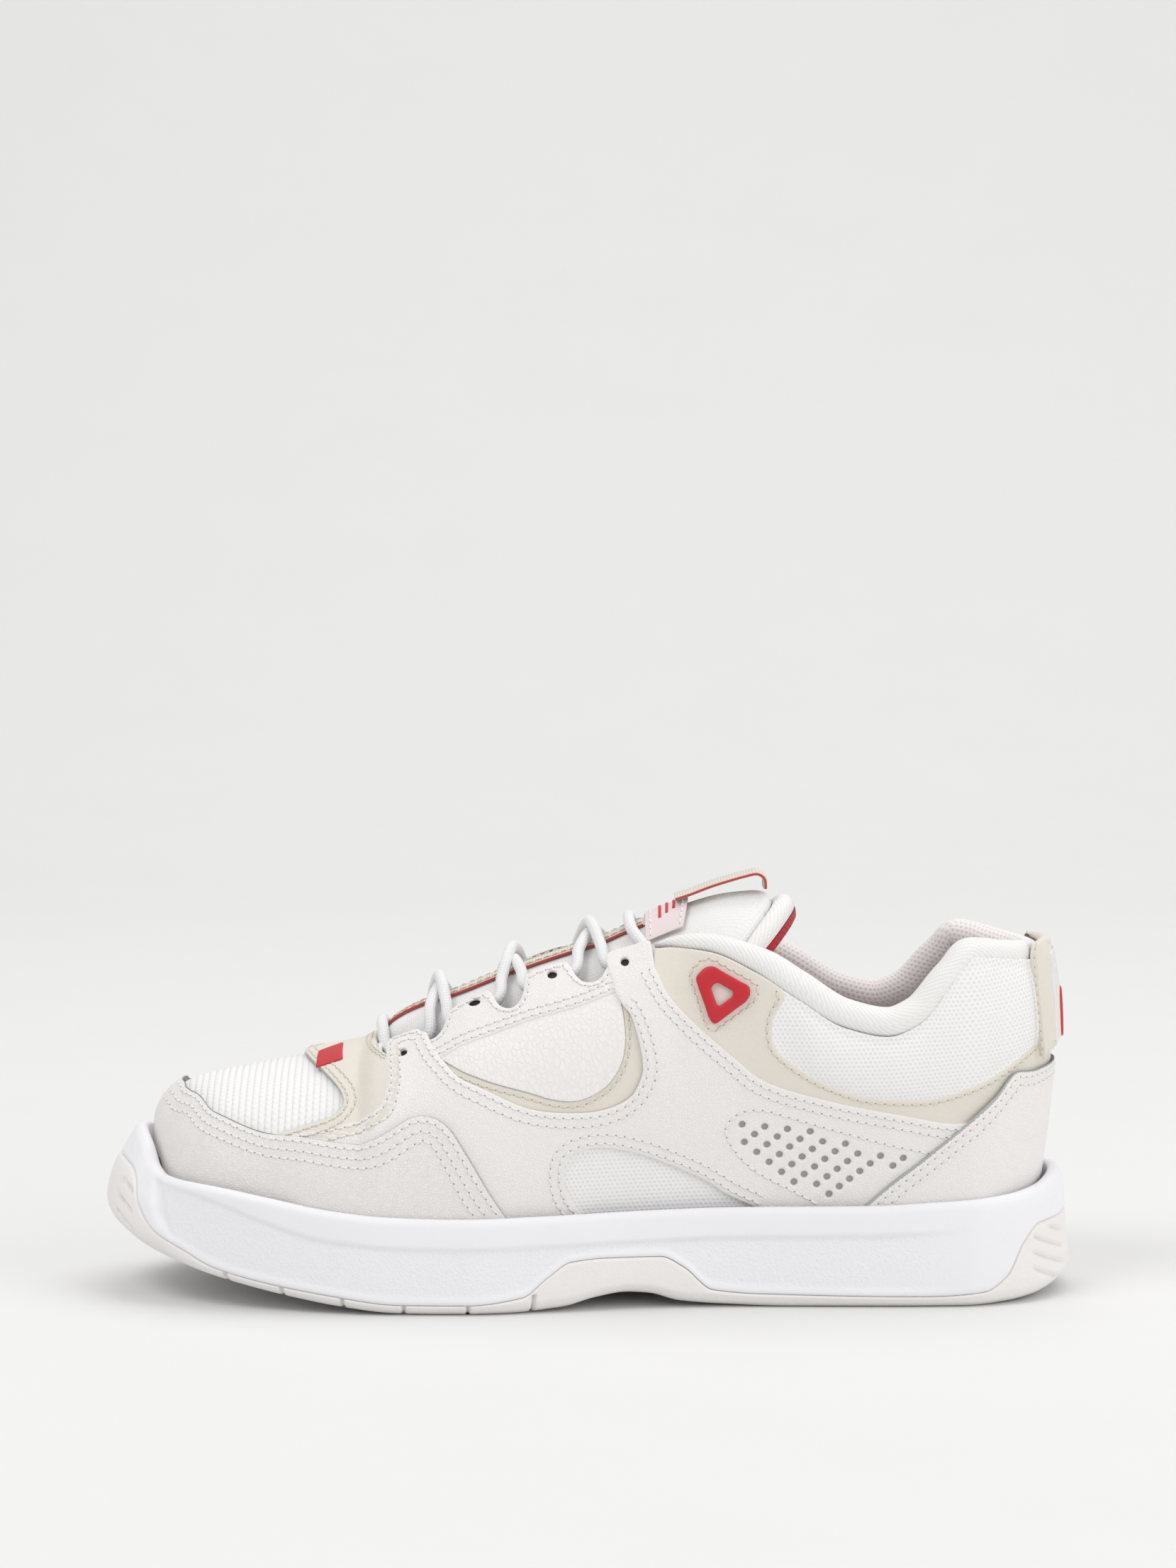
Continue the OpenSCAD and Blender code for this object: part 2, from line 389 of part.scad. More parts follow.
lace_route = concat(back(tail_a), [under_tab(3, 0, 1)],
    tail(back(cross(2, -1, 0.3))), back(cross(1, 1, 0.3)), back(cross(0, -1, 0.3)),
    [under_tab(0, 0, -1), over(-63.6, -6, 0.6), over(-63.8, 0, 0.6), over(-63.6, 6, 0.6), under_tab(0, 0, 1)],
    cross(0, 1, lace_d + 0.3), cross(1, -1, lace_d + 0.3), cross(2, 1, lace_d + 0.3), [under_tab(3, 1, -1)],
    [over(13.4, -11, 0.5), over(12.6, 0, 0.5), over(13.4, 11, 0.5), under_tab(3, 1, 1)], tail_b);
function tail(l) = [for (i = [1:len(l) - 1]) l[i]];
function carry(dirs, i, u, acc) = i >= len(dirs) ? acc
    : let(w = unit(u - dirs[i] * (u * dirs[i]))) carry(dirs, i + 1, w, concat(acc, [w]));
module cord(points, r, sides) {
    n = len(points);
    dirs = [for (i = [0:n - 1]) unit(points[min(i + 1, n - 1)] - points[max(i - 1, 0)])];
    ups = carry(dirs, 0, [0.3, 0.9, 0.3], []);
    loft([for (i = [0:n - 1]) let(v = cross3(dirs[i], ups[i]))
        [for (a = [0:360 / sides:359]) points[i] + (ups[i] * cos(a) + v * sin(a)) * r]]);
}
function cross3(a, b) = [a[1] * b[2] - a[2] * b[1], a[2] * b[0] - a[0] * b[2], a[0] * b[1] - a[1] * b[0]];
module lace() color(white) cord(lace_route, lace_r, 8);
module aglet(p, q) color(pinkish) {
    d = unit(p - q);
    cord([p + d * 0.3, p + d * 20], lace_r * 0.8, 8);
}
module aglet_front() aglet(lace_route[0], lace_route[1]);
module aglet_back() aglet(lace_route[len(lace_route) - 1], lace_route[len(lace_route) - 2]);

outsole();
midsole();
insole_board();
sockliner();
heel_counter();
toe_puff();
lining_vamp();
lining_lateral();
lining_medial();
lining_heel();
toe_mesh();
toe_overlay();
vamp_saddle();
vamp_mark();
quarter_lateral();
quarter_medial();
side_panel_lateral();
side_panel_medial();
underlay_lateral();
underlay_medial();
eyestay_lateral();
eyestay_medial();
window_mesh_lateral();
window_mesh_medial();
collar_panel_lateral();
collar_panel_medial();
ankle_mesh_lateral();
ankle_mesh_medial();
collar_roll();
heel_overlay();
heel_tab();
heel_badge();
lace_keeper_lateral();
lace_keeper_medial();
tongue();
tongue_lining();
tongue_binding();
tongue_webbing();
tongue_label();
pull_loop();
lace();
aglet_back();
aglet_front();
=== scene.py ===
"""Looks of the laced court sneaker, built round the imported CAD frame.

Lengths are millimetres until a mesh is made.
"""

import math
import random

import bpy
import numpy as np
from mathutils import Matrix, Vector
from mathutils.geometry import delaunay_2d_cdt


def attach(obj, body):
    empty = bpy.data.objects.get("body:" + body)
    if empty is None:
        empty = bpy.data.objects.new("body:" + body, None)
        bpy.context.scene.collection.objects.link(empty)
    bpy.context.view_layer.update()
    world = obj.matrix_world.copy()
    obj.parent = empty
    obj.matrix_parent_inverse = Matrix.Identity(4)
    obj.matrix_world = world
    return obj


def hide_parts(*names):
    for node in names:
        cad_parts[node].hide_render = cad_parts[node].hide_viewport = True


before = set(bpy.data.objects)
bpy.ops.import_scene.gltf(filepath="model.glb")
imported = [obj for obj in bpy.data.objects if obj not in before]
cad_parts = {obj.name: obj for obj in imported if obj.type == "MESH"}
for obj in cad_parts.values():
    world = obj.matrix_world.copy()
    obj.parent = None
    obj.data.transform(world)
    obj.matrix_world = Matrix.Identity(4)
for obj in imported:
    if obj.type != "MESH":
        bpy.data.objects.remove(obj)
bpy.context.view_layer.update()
random.seed(7)
MM = 0.001
LATERAL, MEDIAL = -1, 1


# ---------------------------------------------------------------- camera
SHOE_MIDDLE = Vector((0.0, 0.0, 0.0640))
CAMERA_RANGE = 1.381
CAMERA_HEIGHT_DEG = 9.0
FRAME_DROP_DEG = 3.825


def add_camera():
    """A long lens at the lateral side, a little above the shoe, which sits low in the frame."""
    up = math.radians(CAMERA_HEIGHT_DEG)
    data = bpy.data.cameras.new("camera")
    data.sensor_fit = "VERTICAL"
    data.sensor_height = 36.0
    data.lens = 101.5
    camera = bpy.data.objects.new("camera", data)
    camera.location = SHOE_MIDDLE + Vector((0, -math.cos(up), math.sin(up))) * CAMERA_RANGE
    camera.rotation_euler = (math.radians(90 - CAMERA_HEIGHT_DEG + FRAME_DROP_DEG), 0, 0)
    bpy.context.scene.collection.objects.link(camera)
    bpy.context.scene.camera = camera


add_camera()


# ---------------------------------------------------------------- interpolation
def curve(knots, x):
    """A smooth line through (x, y) knots that never overshoots them."""
    k = np.asarray(knots, float)
    kx, ky = k[:, 0], k[:, 1]
    x = np.clip(np.asarray(x, float), kx[0], kx[-1])
    i = np.clip(np.searchsorted(kx, x, side="right") - 1, 0, len(kx) - 2)
    d = np.diff(ky) / np.diff(kx)
    lean = np.concatenate([d[:1], np.zeros(len(kx) - 2), d[-1:]])
    same = d[:-1] * d[1:] > 0
    lean[1:-1][same] = (2 * d[:-1] * d[1:])[same] / (d[:-1] + d[1:])[same]
    h = kx[i + 1] - kx[i]
    s = (x - kx[i]) / h
    a, b, m, n = ky[i], ky[i + 1], lean[i] * h, lean[i + 1] * h
    return a + s * (m + s * (3 * (b - a) - 2 * m - n + s * (2 * (a - b) + m + n)))


def smooth(a, b, v):
    f = np.clip((np.asarray(v, float) - a) / (b - a), 0, 1)
    return f * f * (3 - 2 * f)


def mix(a, b, f):
    return a + (b - a) * f


def rounded(gap, radius):
    """Drop of a quarter-round edge at a distance from it, as a share of its radius."""
    return 1 - np.sqrt(np.clip(1 - (1 - np.clip(gap / radius, 0, 1)) ** 2, 0, 1))


def unit(v):
    return v / np.maximum(np.linalg.norm(v, axis=-1, keepdims=True), 1e-9)


def catmull(points, step, closed=False):
    """Points about step apart on a smooth line through the given ones."""
    p = np.asarray(points, float)
    if len(p) == 2:
        n = max(2, int(np.linalg.norm(p[1] - p[0]) / step) + 1)
        return p[0] + (p[1] - p[0]) * np.linspace(0, 1, n)[:, None]
    before, after = (p[-1:], p[:2]) if closed else (2 * p[:1] - p[1:2], 2 * p[-1:] - p[-2:-1])
    q = np.concatenate([before, p, after])
    line = []
    for a, b, c, d in zip(q, q[1:], q[2:], q[3:]):
        s = np.linspace(0, 1, 24, endpoint=False)[:, None]
        second, third = 2 * a - 5 * b + 4 * c - d, 3 * b - a - 3 * c + d
        line.append((2 * b + (c - a) * s + second * s**2 + third * s**3) / 2)
    line = np.concatenate(line + [p[:1] if closed else p[-1:]])
    return resample(line, step)


def run_length(line):
    """Distance along a line at each of its points."""
    return np.concatenate([[0], np.cumsum(np.linalg.norm(np.diff(line, axis=0), axis=1))])


def resample(line, step):
    """The same polyline with points about step apart, ends kept."""
    length = run_length(line)
    n = max(2, int(round(length[-1] / step)) + 1)
    at = np.linspace(0, length[-1], n)
    return np.stack([np.interp(at, length, line[:, i]) for i in range(line.shape[1])], axis=1)


# ---------------------------------------------------------------- the shared surface, as in the CAD
HALF = 147.0
RIM_WALL, LACE_D = 3.6, 3.6


def plan_x(t):
    return -HALF * np.cos(np.pi * np.asarray(t, float))


def plan_t(x):
    return np.arccos(np.clip(-np.asarray(x, float) / HALF, -1, 1)) / np.pi


def by_station(knots):
    return [[float(plan_t(x)), y] for x, y in knots]


LATERAL_W = by_station([[-147, 0], [-143, 16.5], [-133, 30], [-114, 40.5], [-90, 48], [-60, 52.5],
                        [-37, 52.5], [-10, 48], [15, 42.5], [45, 40], [90, 40.5], [115, 39.5], [130, 34],
                        [141, 22], [147, 0]])
MEDIAL_W = by_station([[-147, 0], [-143, 18.5], [-133, 33], [-114, 45], [-90, 51.3], [-76, 52.5],
                       [-60, 52], [-37, 48], [-10, 41], [20, 36], [55, 35], [90, 37.5], [115, 37.5],
                       [130, 33], [141, 21.7], [147, 0]])
GROUND = [[-150, 17.5], [-132, 13.8], [-114, 9.2], [-96, 5.5], [-77, 2.3], [-57, 0.25], [-45, 0],
          [-25, 0], [-7, 1.3], [3, 3.7], [12, 5], [19, 4.5], [28, 2], [40, 0.8], [61, 0], [115, 0],
          [137, 1.1], [150, 4.6]]
WRAP = [[-150, 43], [-143, 40], [-137, 29], [-131, 21.5], [-123, 17], [-114, 12.6], [-96, 8.6],
        [-77, 5.7], [-57, 3.4], [-37, 3.2], [-20, 5.1], [-12, 11], [-5, 15.4], [5, 16.2], [22, 16.2],
        [29, 12.9], [38, 5.7], [52, 4.4], [104, 3.5], [121, 4.6], [128, 9], [133, 18.6], [138, 24],
        [150, 25]]
RIM = [[-147, 50.5], [-143, 47], [-139, 41], [-134, 38.6], [-117, 37.4], [-98, 34.7], [-79, 31.5],
       [-60, 29.8], [-41, 29.2], [-2, 29.6], [45, 30.7], [86, 31.1], [104, 32], [125, 33.3], [140, 35.2],
       [147, 38]]
CUP = [[-147, 37], [-120, 26.5], [-90, 18.5], [-50, 15], [0, 16.5], [60, 19], [147, 23]]
SIDE_OFF = [[0, -3.4], [0.06, -0.9], [0.14, 0.1], [0.5, -0.2], [0.9, -0.6], [1, -1.2]]
TOE_OFF = [[0, -5.5], [0.1, -1.5], [0.22, 1.8], [0.34, 3], [0.6, 1.2], [0.85, -3.5], [1, -6.6]]
HEEL_OFF = [[0, -1.8], [0.07, 1.4], [0.16, 3], [0.5, 2], [0.85, 1.2], [1, -0.4]]
TOP_X = [[-147, -121], [-135, -113], [-118, -103], [-98, -92], [-78, -76], [-60, -60], [95, 95],
         [120, 117], [136, 130], [147, 140.8]]
TOP_Y = by_station([[-69, 0], [-64.5, 12], [-56, 18], [-34, 20.5], [-11, 21.5], [11, 23], [22, 25],
                    [36, 30], [52, 34], [75, 37], [91, 37], [105, 34.5], [119, 29.5], [131, 23],
                    [141, 14], [147, 0]])
TOP_Z = [[-139, 51.5], [-132.5, 59.2], [-127, 63.3], [-117, 66.8], [-102, 69.7], [-83, 73.4], [-70, 76],
         [-56, 80.5], [-34, 93], [-11, 102.5], [11, 107.8], [26, 112.5], [36, 113.2], [52, 109.3],
         [63, 103], [78, 94], [91, 91.3], [100, 94.5], [110, 105], [118, 111.6], [130, 110],
         [140.8, 108.3]]
TILT = [[-120, 0], [-72, 0], [-58, 22], [-30, 34], [11, 42], [30, 66], [52, 84], [90, 88], [117, 86],
        [141, 78]]


def around(u):
    """Station folded into -1 to 1: the heel is at both ends, the toe at 0, the lateral side negative."""
    return (np.asarray(u, float) + 1) % 2 - 1


def edge(u):
    """Plan outline of the sole at station u."""
    u = around(u)
    t = np.abs(u)
    w = np.where(u < 0, curve(LATERAL_W, t), curve(MEDIAL_W, t))
    return np.stack([plan_x(t), np.where(u < 0, -w, w), 0 * w], axis=-1)


def out(u):
    """Outward direction of the plan outline."""
    d = unit(edge(np.asarray(u) + 0.004) - edge(np.asarray(u) - 0.004))
    return np.stack([-d[..., 1], d[..., 0], 0 * d[..., 0]], axis=-1)


def station_x(u):
    return plan_x(np.abs(around(u)))


def wall_off(x, f):
    toe, heel = 1 - smooth(-147, -117, x), smooth(125, 147, x)
    return mix(mix(curve(SIDE_OFF, f), curve(TOE_OFF, f), toe), curve(HEEL_OFF, f), heel)


def rim_point(u, z, inset):
    p = edge(u) + out(u) * (wall_off(station_x(u), 1.0) - inset)[..., None]
    p[..., 2] = z
    return p


def foot(u):
    return rim_point(u, curve(RIM, station_x(u)) - 1, RIM_WALL + 3)


def top(u):
    u = around(u)
    t = np.abs(u)
    x = curve(TOP_X, plan_x(t))
    y = np.where(x < -68.5, 0, curve(TOP_Y, t))
    return np.stack([x, np.sign(u) * y, curve(TOP_Z, x)], axis=-1)


def top_lean(u):
    """Direction in which the surface leaves its top line, outwards and down."""
    x = curve(TOP_X, station_x(u))
    a = np.radians(curve(TILT, x))[..., None]
    slope = (curve(TOP_Z, x + 2) - curve(TOP_Z, x - 2)) / 4 * (1 - smooth(-76, -50, x))
    n = out(u)
    flat = unit(np.stack([n[..., 0], n[..., 1], n[..., 0] * slope], axis=-1))
    return flat * np.cos(a) - np.array([0, 0, 1.0]) * np.sin(a)


def upper(u, v):
    """The upper's outer base surface: v is 0 at the rim and 1 at the ridge, throat or collar."""
    u, v = np.broadcast_arrays(np.asarray(u, float), np.asarray(v, float))
    f, e = foot(u), top(u)
    d = np.linalg.norm(e - f, axis=-1, keepdims=True)
    a = f + (np.array([0, 0, 0.94]) + out(u) * 0.12) * d * 0.37
    b = e + top_lean(u) * d * 0.38
    s = np.maximum(v, 0)[..., None]
    w = 1 - s
    p = f * w**3 + a * 3 * w * w * s + b * 3 * w * s * s + e * s**3
    p[..., 2] += np.minimum(v, 0) * 40
    return p


def upper_n(u, v):
    v = np.clip(v, 0.01, 0.99)
    a = upper(u + 0.004, v) - upper(u - 0.004, v)
    b = upper(u, v + 0.01) - upper(u, v - 0.01)
    return unit(np.cross(a, b)) * np.array(-1.0)


def skin(u, v, off):
    u, v = np.broadcast_arrays(np.asarray(u, float), np.asarray(v, float))
    return upper(u, v) + upper_n(u, v) * np.asarray(off, float)[..., None]


# ---------------------------------------------------------------- flat charts of the surface, in millimetres
STATIONS = np.linspace(-1.3, 1.3, 1561)
RUN = run_length(foot(STATIONS))
RUN -= np.interp(0, STATIONS, RUN)
WALL = upper(STATIONS[:, None], np.linspace(0, 1, 41)[None, :])
HEIGHT = np.linalg.norm(np.diff(WALL, axis=1), axis=2).sum(axis=1)


def side_chart(p):
    """(run along the rim, height up the wall) to surface coordinates."""
    u = np.interp(p[:, 0], RUN, STATIONS)
    return u, p[:, 1] / np.interp(u, STATIONS, HEIGHT)


def surface_chart(u, v):
    """Surface coordinates to the side chart."""
    u, v = np.broadcast_arrays(np.asarray(u, float), np.asarray(v, float))
    return np.stack([np.interp(u, STATIONS, RUN), v * np.interp(u, STATIONS, HEIGHT)], axis=-1)


def ridge_chart(p):
    """(x of the station, run across from the ridge) to surface coordinates, for pieces over the vamp."""
    side = np.where(p[:, 1] < 0, -1.0, 1.0)
    u = side * np.maximum(plan_t(p[:, 0]), 1e-4)
    return u, 1 - np.abs(p[:, 1]) / np.interp(u, STATIONS, HEIGHT)


GRID_T = np.linspace(0.003, 0.997, 500)
GRID_V = np.linspace(0, 1, 161)
GRIDS = {side: upper(side * GRID_T[:, None], GRID_V[None, :]) for side in (LATERAL, MEDIAL)}


def locate(side, points):
    """Surface coordinates (t, v) of points given as (x, z) in the side view."""
    found = []
    g = GRIDS[side]
    for x, z in points:
        d = (g[..., 0] - x) ** 2 + (g[..., 2] - z) ** 2
        i, j = np.unravel_index(np.argmin(d), d.shape)
        i, j = min(max(i, 1), len(GRID_T) - 2), min(max(j, 1), len(GRID_V) - 2)
        ft, fv = (g[i + 1, j] - g[i - 1, j])[[0, 2]], (g[i, j + 1] - g[i, j - 1])[[0, 2]]
        m = np.stack([ft, fv], axis=1)
        r = np.array([x, z]) - g[i, j][[0, 2]]
        s = np.clip(np.linalg.solve(m, r) if abs(np.linalg.det(m)) > 1e-6 else [0, 0], -0.75, 0.75)
        t = GRID_T[i] + s[0] * 2 * (GRID_T[1] - GRID_T[0])
        found.append([t, min(GRID_V[j] + s[1] * 2 * GRID_V[1], 1)])
    return np.array(found)


def on_side(side, points):
    """(x, z) of the side view to the side chart."""
    tv = locate(side, points)
    return surface_chart(side * tv[:, 0], tv[:, 1])


def v_at(u, z):
    """Share of the surface's height at which it reaches z, at each station."""
    v = np.linspace(0, 1, 81)
    rows = upper(np.asarray(u)[:, None], v[None, :])[..., 2]
    return np.array([np.interp(height, row, v) for row, height in zip(rows, np.broadcast_to(z, len(rows)))])


def on_level(side, knots, x0, x1, n):
    """A side-chart line whose height follows (station x, z) knots, from station x0 to x1."""
    u = side * np.linspace(plan_t(x0), plan_t(x1), n)
    return surface_chart(u, v_at(u, curve(knots, station_x(u))))


def on_share(side, points):
    """(station x, share of the height) points to the side chart."""
    p = np.asarray(points, float)
    return surface_chart(side * plan_t(p[:, 0]), p[:, 1])


# ---------------------------------------------------------------- meshes
def make(name, verts, faces, mats, body="shoe", uv=None, face_mats=None, masks=None):
    """One object from millimetre points, riding on a body."""
    mesh = bpy.data.meshes.new(name)
    mesh.from_pydata((np.asarray(verts, float) * MM).tolist(), [], [list(map(int, f)) for f in faces])
    if uv is not None:
        index = np.empty(len(mesh.loops), int)
        mesh.loops.foreach_get("vertex_index", index)
        layer = mesh.uv_layers.new(name="chart")
        layer.data.foreach_set("uv", (np.asarray(uv, float)[index] / 10).ravel())
    for key, values in (masks or {}).items():
        mesh.attributes.new(key, "FLOAT", "POINT").data.foreach_set("value", np.asarray(values, np.float32))
    mesh.polygons.foreach_set("use_smooth", [True] * len(mesh.polygons))
    for m in mats:
        mesh.materials.append(m)
    if face_mats is not None:
        mesh.polygons.foreach_set("material_index", np.asarray(face_mats, int))
    mesh.update()
    obj = bpy.data.objects.new(name, mesh)
    bpy.context.scene.collection.objects.link(obj)
    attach(obj, body)
    return obj


def stands_for(obj, slot, *nodes):
    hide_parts(*nodes)
    return obj


def grid_faces(rows, columns, closed=False, start=0):
    """Quads of a grid of points stored row by row; closed joins the last column to the first."""
    i, j = np.meshgrid(np.arange(rows - 1), np.arange(columns if closed else columns - 1), indexing="ij")
    k = (j + 1) % columns
    corners = [i * columns + j, i * columns + k, (i + 1) * columns + k, (i + 1) * columns + j]
    return np.stack(corners, axis=-1).reshape(-1, 4) + start


def sheet_faces(rows, columns, rim_turned):
    """Faces of a sheet with a thickness: the upper grid, the under grid stored after it, and the rim."""
    n = rows * columns
    faces = grid_faces(rows, columns).tolist() + grid_faces(rows, columns, start=n)[:, ::-1].tolist()
    near = [i * columns for i in range(rows)] + [(rows - 1) * columns + j for j in range(1, columns)]
    far = [i * columns + columns - 1 for i in range(rows - 2, -1, -1)] + list(range(columns - 2, 0, -1))
    border = near + far
    for a, b in zip(border, border[1:] + border[:1]):
        faces.append([b, a, a + n, b + n] if rim_turned else [a, b, b + n, a + n])
    return faces


def sheet(name, upper_side, under, uv, mat, slot, body="shoe", rim_turned=False, part=None):
    """A sheet from the points of its two faces, which takes the place of a CAD node."""
    faces = sheet_faces(*upper_side.shape[:2], rim_turned)
    verts = np.concatenate([upper_side.reshape(-1, 3), under.reshape(-1, 3)])
    obj = make(name, verts, faces, [mat], body, np.concatenate([uv.reshape(-1, 2)] * 2))
    return stands_for(obj, slot, part or name)


def swept(name, rings, line, uv, mats, body="shoe", face_mats=None):
    """A closed skin over rings of points round a line, with a fan of faces at each end."""
    rows, columns = rings.shape[:2]
    n = rows * columns
    faces = grid_faces(rows, columns)[:, ::-1].tolist() + [[n, j, j + 1] for j in range(columns - 1)]
    faces += [[n + 1, n - columns + j + 1, n - columns + j] for j in range(columns - 1)]
    verts = np.concatenate([rings.reshape(-1, 3), line[:1], line[-1:]])
    uv = uv.reshape(-1, 2)
    return make(name, verts, faces, mats, body, np.concatenate([uv, uv[:1], uv[-1:]]), face_mats)


def area(loop):
    x, y = loop[:, 0], loop[:, 1]
    return 0.5 * np.sum(x * np.roll(y, -1) - y * np.roll(x, -1))


def inset(loop, d, closed=True):
    """The line moved d to its left: inwards, for a loop that runs anticlockwise."""
    if closed:
        tangent = unit(np.roll(loop, -1, axis=0) - np.roll(loop, 1, axis=0))
    else:
        tangent = unit(np.gradient(loop, axis=0))
    return loop + np.stack([-tangent[:, 1], tangent[:, 0]], axis=1) * d


def inside(points, loop):
    a, b = loop, np.roll(loop, -1, axis=0)
    hit = np.zeros(len(points), bool)
    for (ax, ay), (bx, by) in zip(a, b):
        if ay == by:
            continue
        cut = (points[:, 1] < ay) != (points[:, 1] < by)
        hit ^= cut & (points[:, 0] < (bx - ax) * (points[:, 1] - ay) / (by - ay) + ax)
    return hit


def clearance(points, line, closed=True):
    """Distance of each point from a line."""
    best = np.full(len(points), 1e9)
    ends = np.roll(line, -1, axis=0) if closed else line[1:]
    for a, b in zip(line, ends):
        d = b - a
        s = np.clip(((points - a) @ d) / max(d @ d, 1e-12), 0, 1)[:, None]
        best = np.minimum(best, np.linalg.norm(points - a - d * s, axis=1))
    return best


ROUND_AT = [0.0, 0.12, 0.3, 0.62]
ROUND_DROP = [0.42, 0.2, 0.07, 0.0]


def panel(name, outline, chart, off, wall, mats, holes=(), step=1.7, raw=(), lift=None, raw_wide=0.25):
    """A cut piece of leather or cloth on the surface: an outer face with a rounded edge, and its rim.

    raw lists lines whose edge shows the core of the material.
    """
    loop = resample(np.concatenate([outline, outline[:1]]), 0.8)[:-1]
    loop = loop if area(loop) > 0 else loop[::-1]
    loops = [loop] + [h if area(h) < 0 else h[::-1] for h in holes]
    fixed, links = [], []
    for cut in loops:
        n = len(cut)
        links += [(len(fixed) + i, len(fixed) + (i + 1) % n) for i in range(n)]
        fixed += cut.tolist()
    soft = [p for cut in loops for d in ROUND_AT[1:]
            for p in inset(cut, d)[clearance(inset(cut, d), loop) > 0.75 * d]]
    low, high = loop.min(axis=0), loop.max(axis=0)
    gx, gy = np.meshgrid(np.arange(low[0], high[0], step), np.arange(low[1], high[1], step * 0.87))
    gx = gx + (np.arange(gx.shape[0]) % 2)[:, None] * step / 2
    grid = np.stack([gx.ravel(), gy.ravel()], axis=1)
    grid = grid[inside(grid, loop)]
    free = np.min([clearance(grid, r) for r in loops], axis=0) > 0.95
    points = [Vector(p) for p in fixed + [tuple(p) for p in soft] + [tuple(p) for p in grid[free]]]
    flat, _, faces, _, _, _ = delaunay_2d_cdt(points, links, [list(range(len(loop)))], 1, 1e-5)
    flat = np.array([tuple(p) for p in flat])
    faces = np.array([f for f in faces if len(f) == 3])
    for h in loops[1:]:
        faces = faces[~inside(flat[faces].mean(axis=1), h)]
    gap = np.min([clearance(flat, r) for r in loops], axis=0)
    height = off - np.interp(gap, ROUND_AT, ROUND_DROP)
    if lift is not None:
        height = height + lift(flat, gap)
    u, v = chart(flat)
    pos = skin(u, v, height)
    f = faces[len(faces) // 2]
    flip = np.dot(np.cross(pos[f[1]] - pos[f[0]], pos[f[2]] - pos[f[0]]), upper_n(u[f[0]], v[f[0]])) < 0
    faces = faces[:, ::-1] if flip else faces
    pairs = np.concatenate([faces[:, [0, 1]], faces[:, [1, 2]], faces[:, [2, 0]]])
    key = np.sort(pairs, axis=1)
    _, first, count = np.unique(key, axis=0, return_index=True, return_counts=True)
    rim = pairs[first[count == 1]]
    under = skin(u, v, off - wall)
    ids = np.unique(rim)
    where = {int(k): len(pos) + i for i, k in enumerate(ids)}
    sides = [[b, a, where[int(a)], where[int(b)]] for a, b in rim]
    kinds = np.zeros(len(faces) + len(sides), int)
    if len(raw):
        near = np.min([clearance(flat, line, closed=False) for line in raw], axis=0)
        kinds[:len(faces)] = (near[faces] < raw_wide).sum(axis=1) >= 2
        kinds[len(faces):] = [near[a] < 0.6 for a, b in rim]
    uv = np.concatenate([flat, flat[ids]])
    verts = np.concatenate([pos, under[ids]])
    return make(name, verts, faces.tolist() + sides, mats, uv=uv, face_mats=kinds)


def clad(name, slot, outline, off, wall, mats, chart=side_chart, **options):
    """A panel that takes the place of the CAD node with its name."""
    return stands_for(panel(name, outline, chart, off, wall, mats, **options), slot, name)


def on_skin(line, chart, off):
    """A chart line as points and normals on the surface. off is a height, or a rule that gives heights."""
    line = np.asarray(line, float)
    u, v = chart(line)
    height = off(line) if callable(off) else np.full(len(u), off)
    return skin(u, v, height), upper_n(u, v)


def frames_along(line, normals, pitch):
    """Evenly spaced places on a 3D line and the normals there."""
    length = run_length(line)
    n = max(1, int(length[-1] / pitch))
    at = (np.arange(n + 1)) * length[-1] / n
    pos = np.stack([np.interp(at, length, line[:, i]) for i in range(3)], axis=1)
    nor = unit(np.stack([np.interp(at, length, normals[:, i]) for i in range(3)], axis=1))
    return pos, nor


THREAD_R = 0.3
STITCH_PITCH = 2.75


def stitches(name, lines, mats, body="shoe"):
    """Lockstitch along lines of (points, normals): short threads with a needle hole between them, a disc of
    painted shade.
    """
    s = np.linspace(0, 1, 7)
    swell = np.array([0.5, 0.86, 1, 1, 1, 0.86, 0.5])
    arch = np.array([-0.7, 0.25, 0.6, 0.7, 0.6, 0.25, -0.7])
    girth = np.linspace(0, 2 * np.pi, 6, endpoint=False)
    caps = [[0, 5, 4, 3], [0, 3, 2, 1], [36, 37, 38, 39], [36, 39, 40, 41]]
    thread_faces = np.concatenate([grid_faces(7, 6, closed=True), caps])
    hole_faces = np.array([[0, i + 1, (i + 1) % 8 + 1] for i in range(8)])
    hole = np.stack([np.cos(np.arange(8) * np.pi / 4), np.sin(np.arange(8) * np.pi / 4)], axis=1)
    verts, faces, kinds = [], [], []
    base = 0
    for line, normals in lines:
        pos, nor = frames_along(line, normals, STITCH_PITCH)
        for a, b, n in zip(pos, pos[1:], nor):
            d = b - a
            length = np.linalg.norm(d)
            d = d / max(length, 1e-9)
            side = np.cross(n, d)
            begin = a + d * length * 0.1 + side * random.uniform(-0.06, 0.06)
            centre = begin + d * length * 0.8 * s[:, None] + n * (arch * THREAD_R)[:, None]
            hoop = (side * np.cos(girth)[:, None] * 1.15 + n * np.sin(girth)[:, None] * 0.85)
            verts.append((centre[:, None] + hoop[None] * (swell * THREAD_R)[:, None, None]).reshape(-1, 3))
            faces += (thread_faces + base).tolist()
            base += 42
            # The needle hole is a flat disc just above the surface, coloured as painted shade for the shadow in
            # the hole.
            middle = a + n * 0.03
            rim = middle + (hole[:, :1] * d * 0.3 + hole[:, 1:] * side * 0.24)
            verts.append(np.concatenate([[middle], rim]))
            faces += (hole_faces + base).tolist()
            base += 9
            kinds += [0] * len(thread_faces) + [1] * 8
    return make(name, np.concatenate(verts), faces, mats, body, face_mats=kinds)


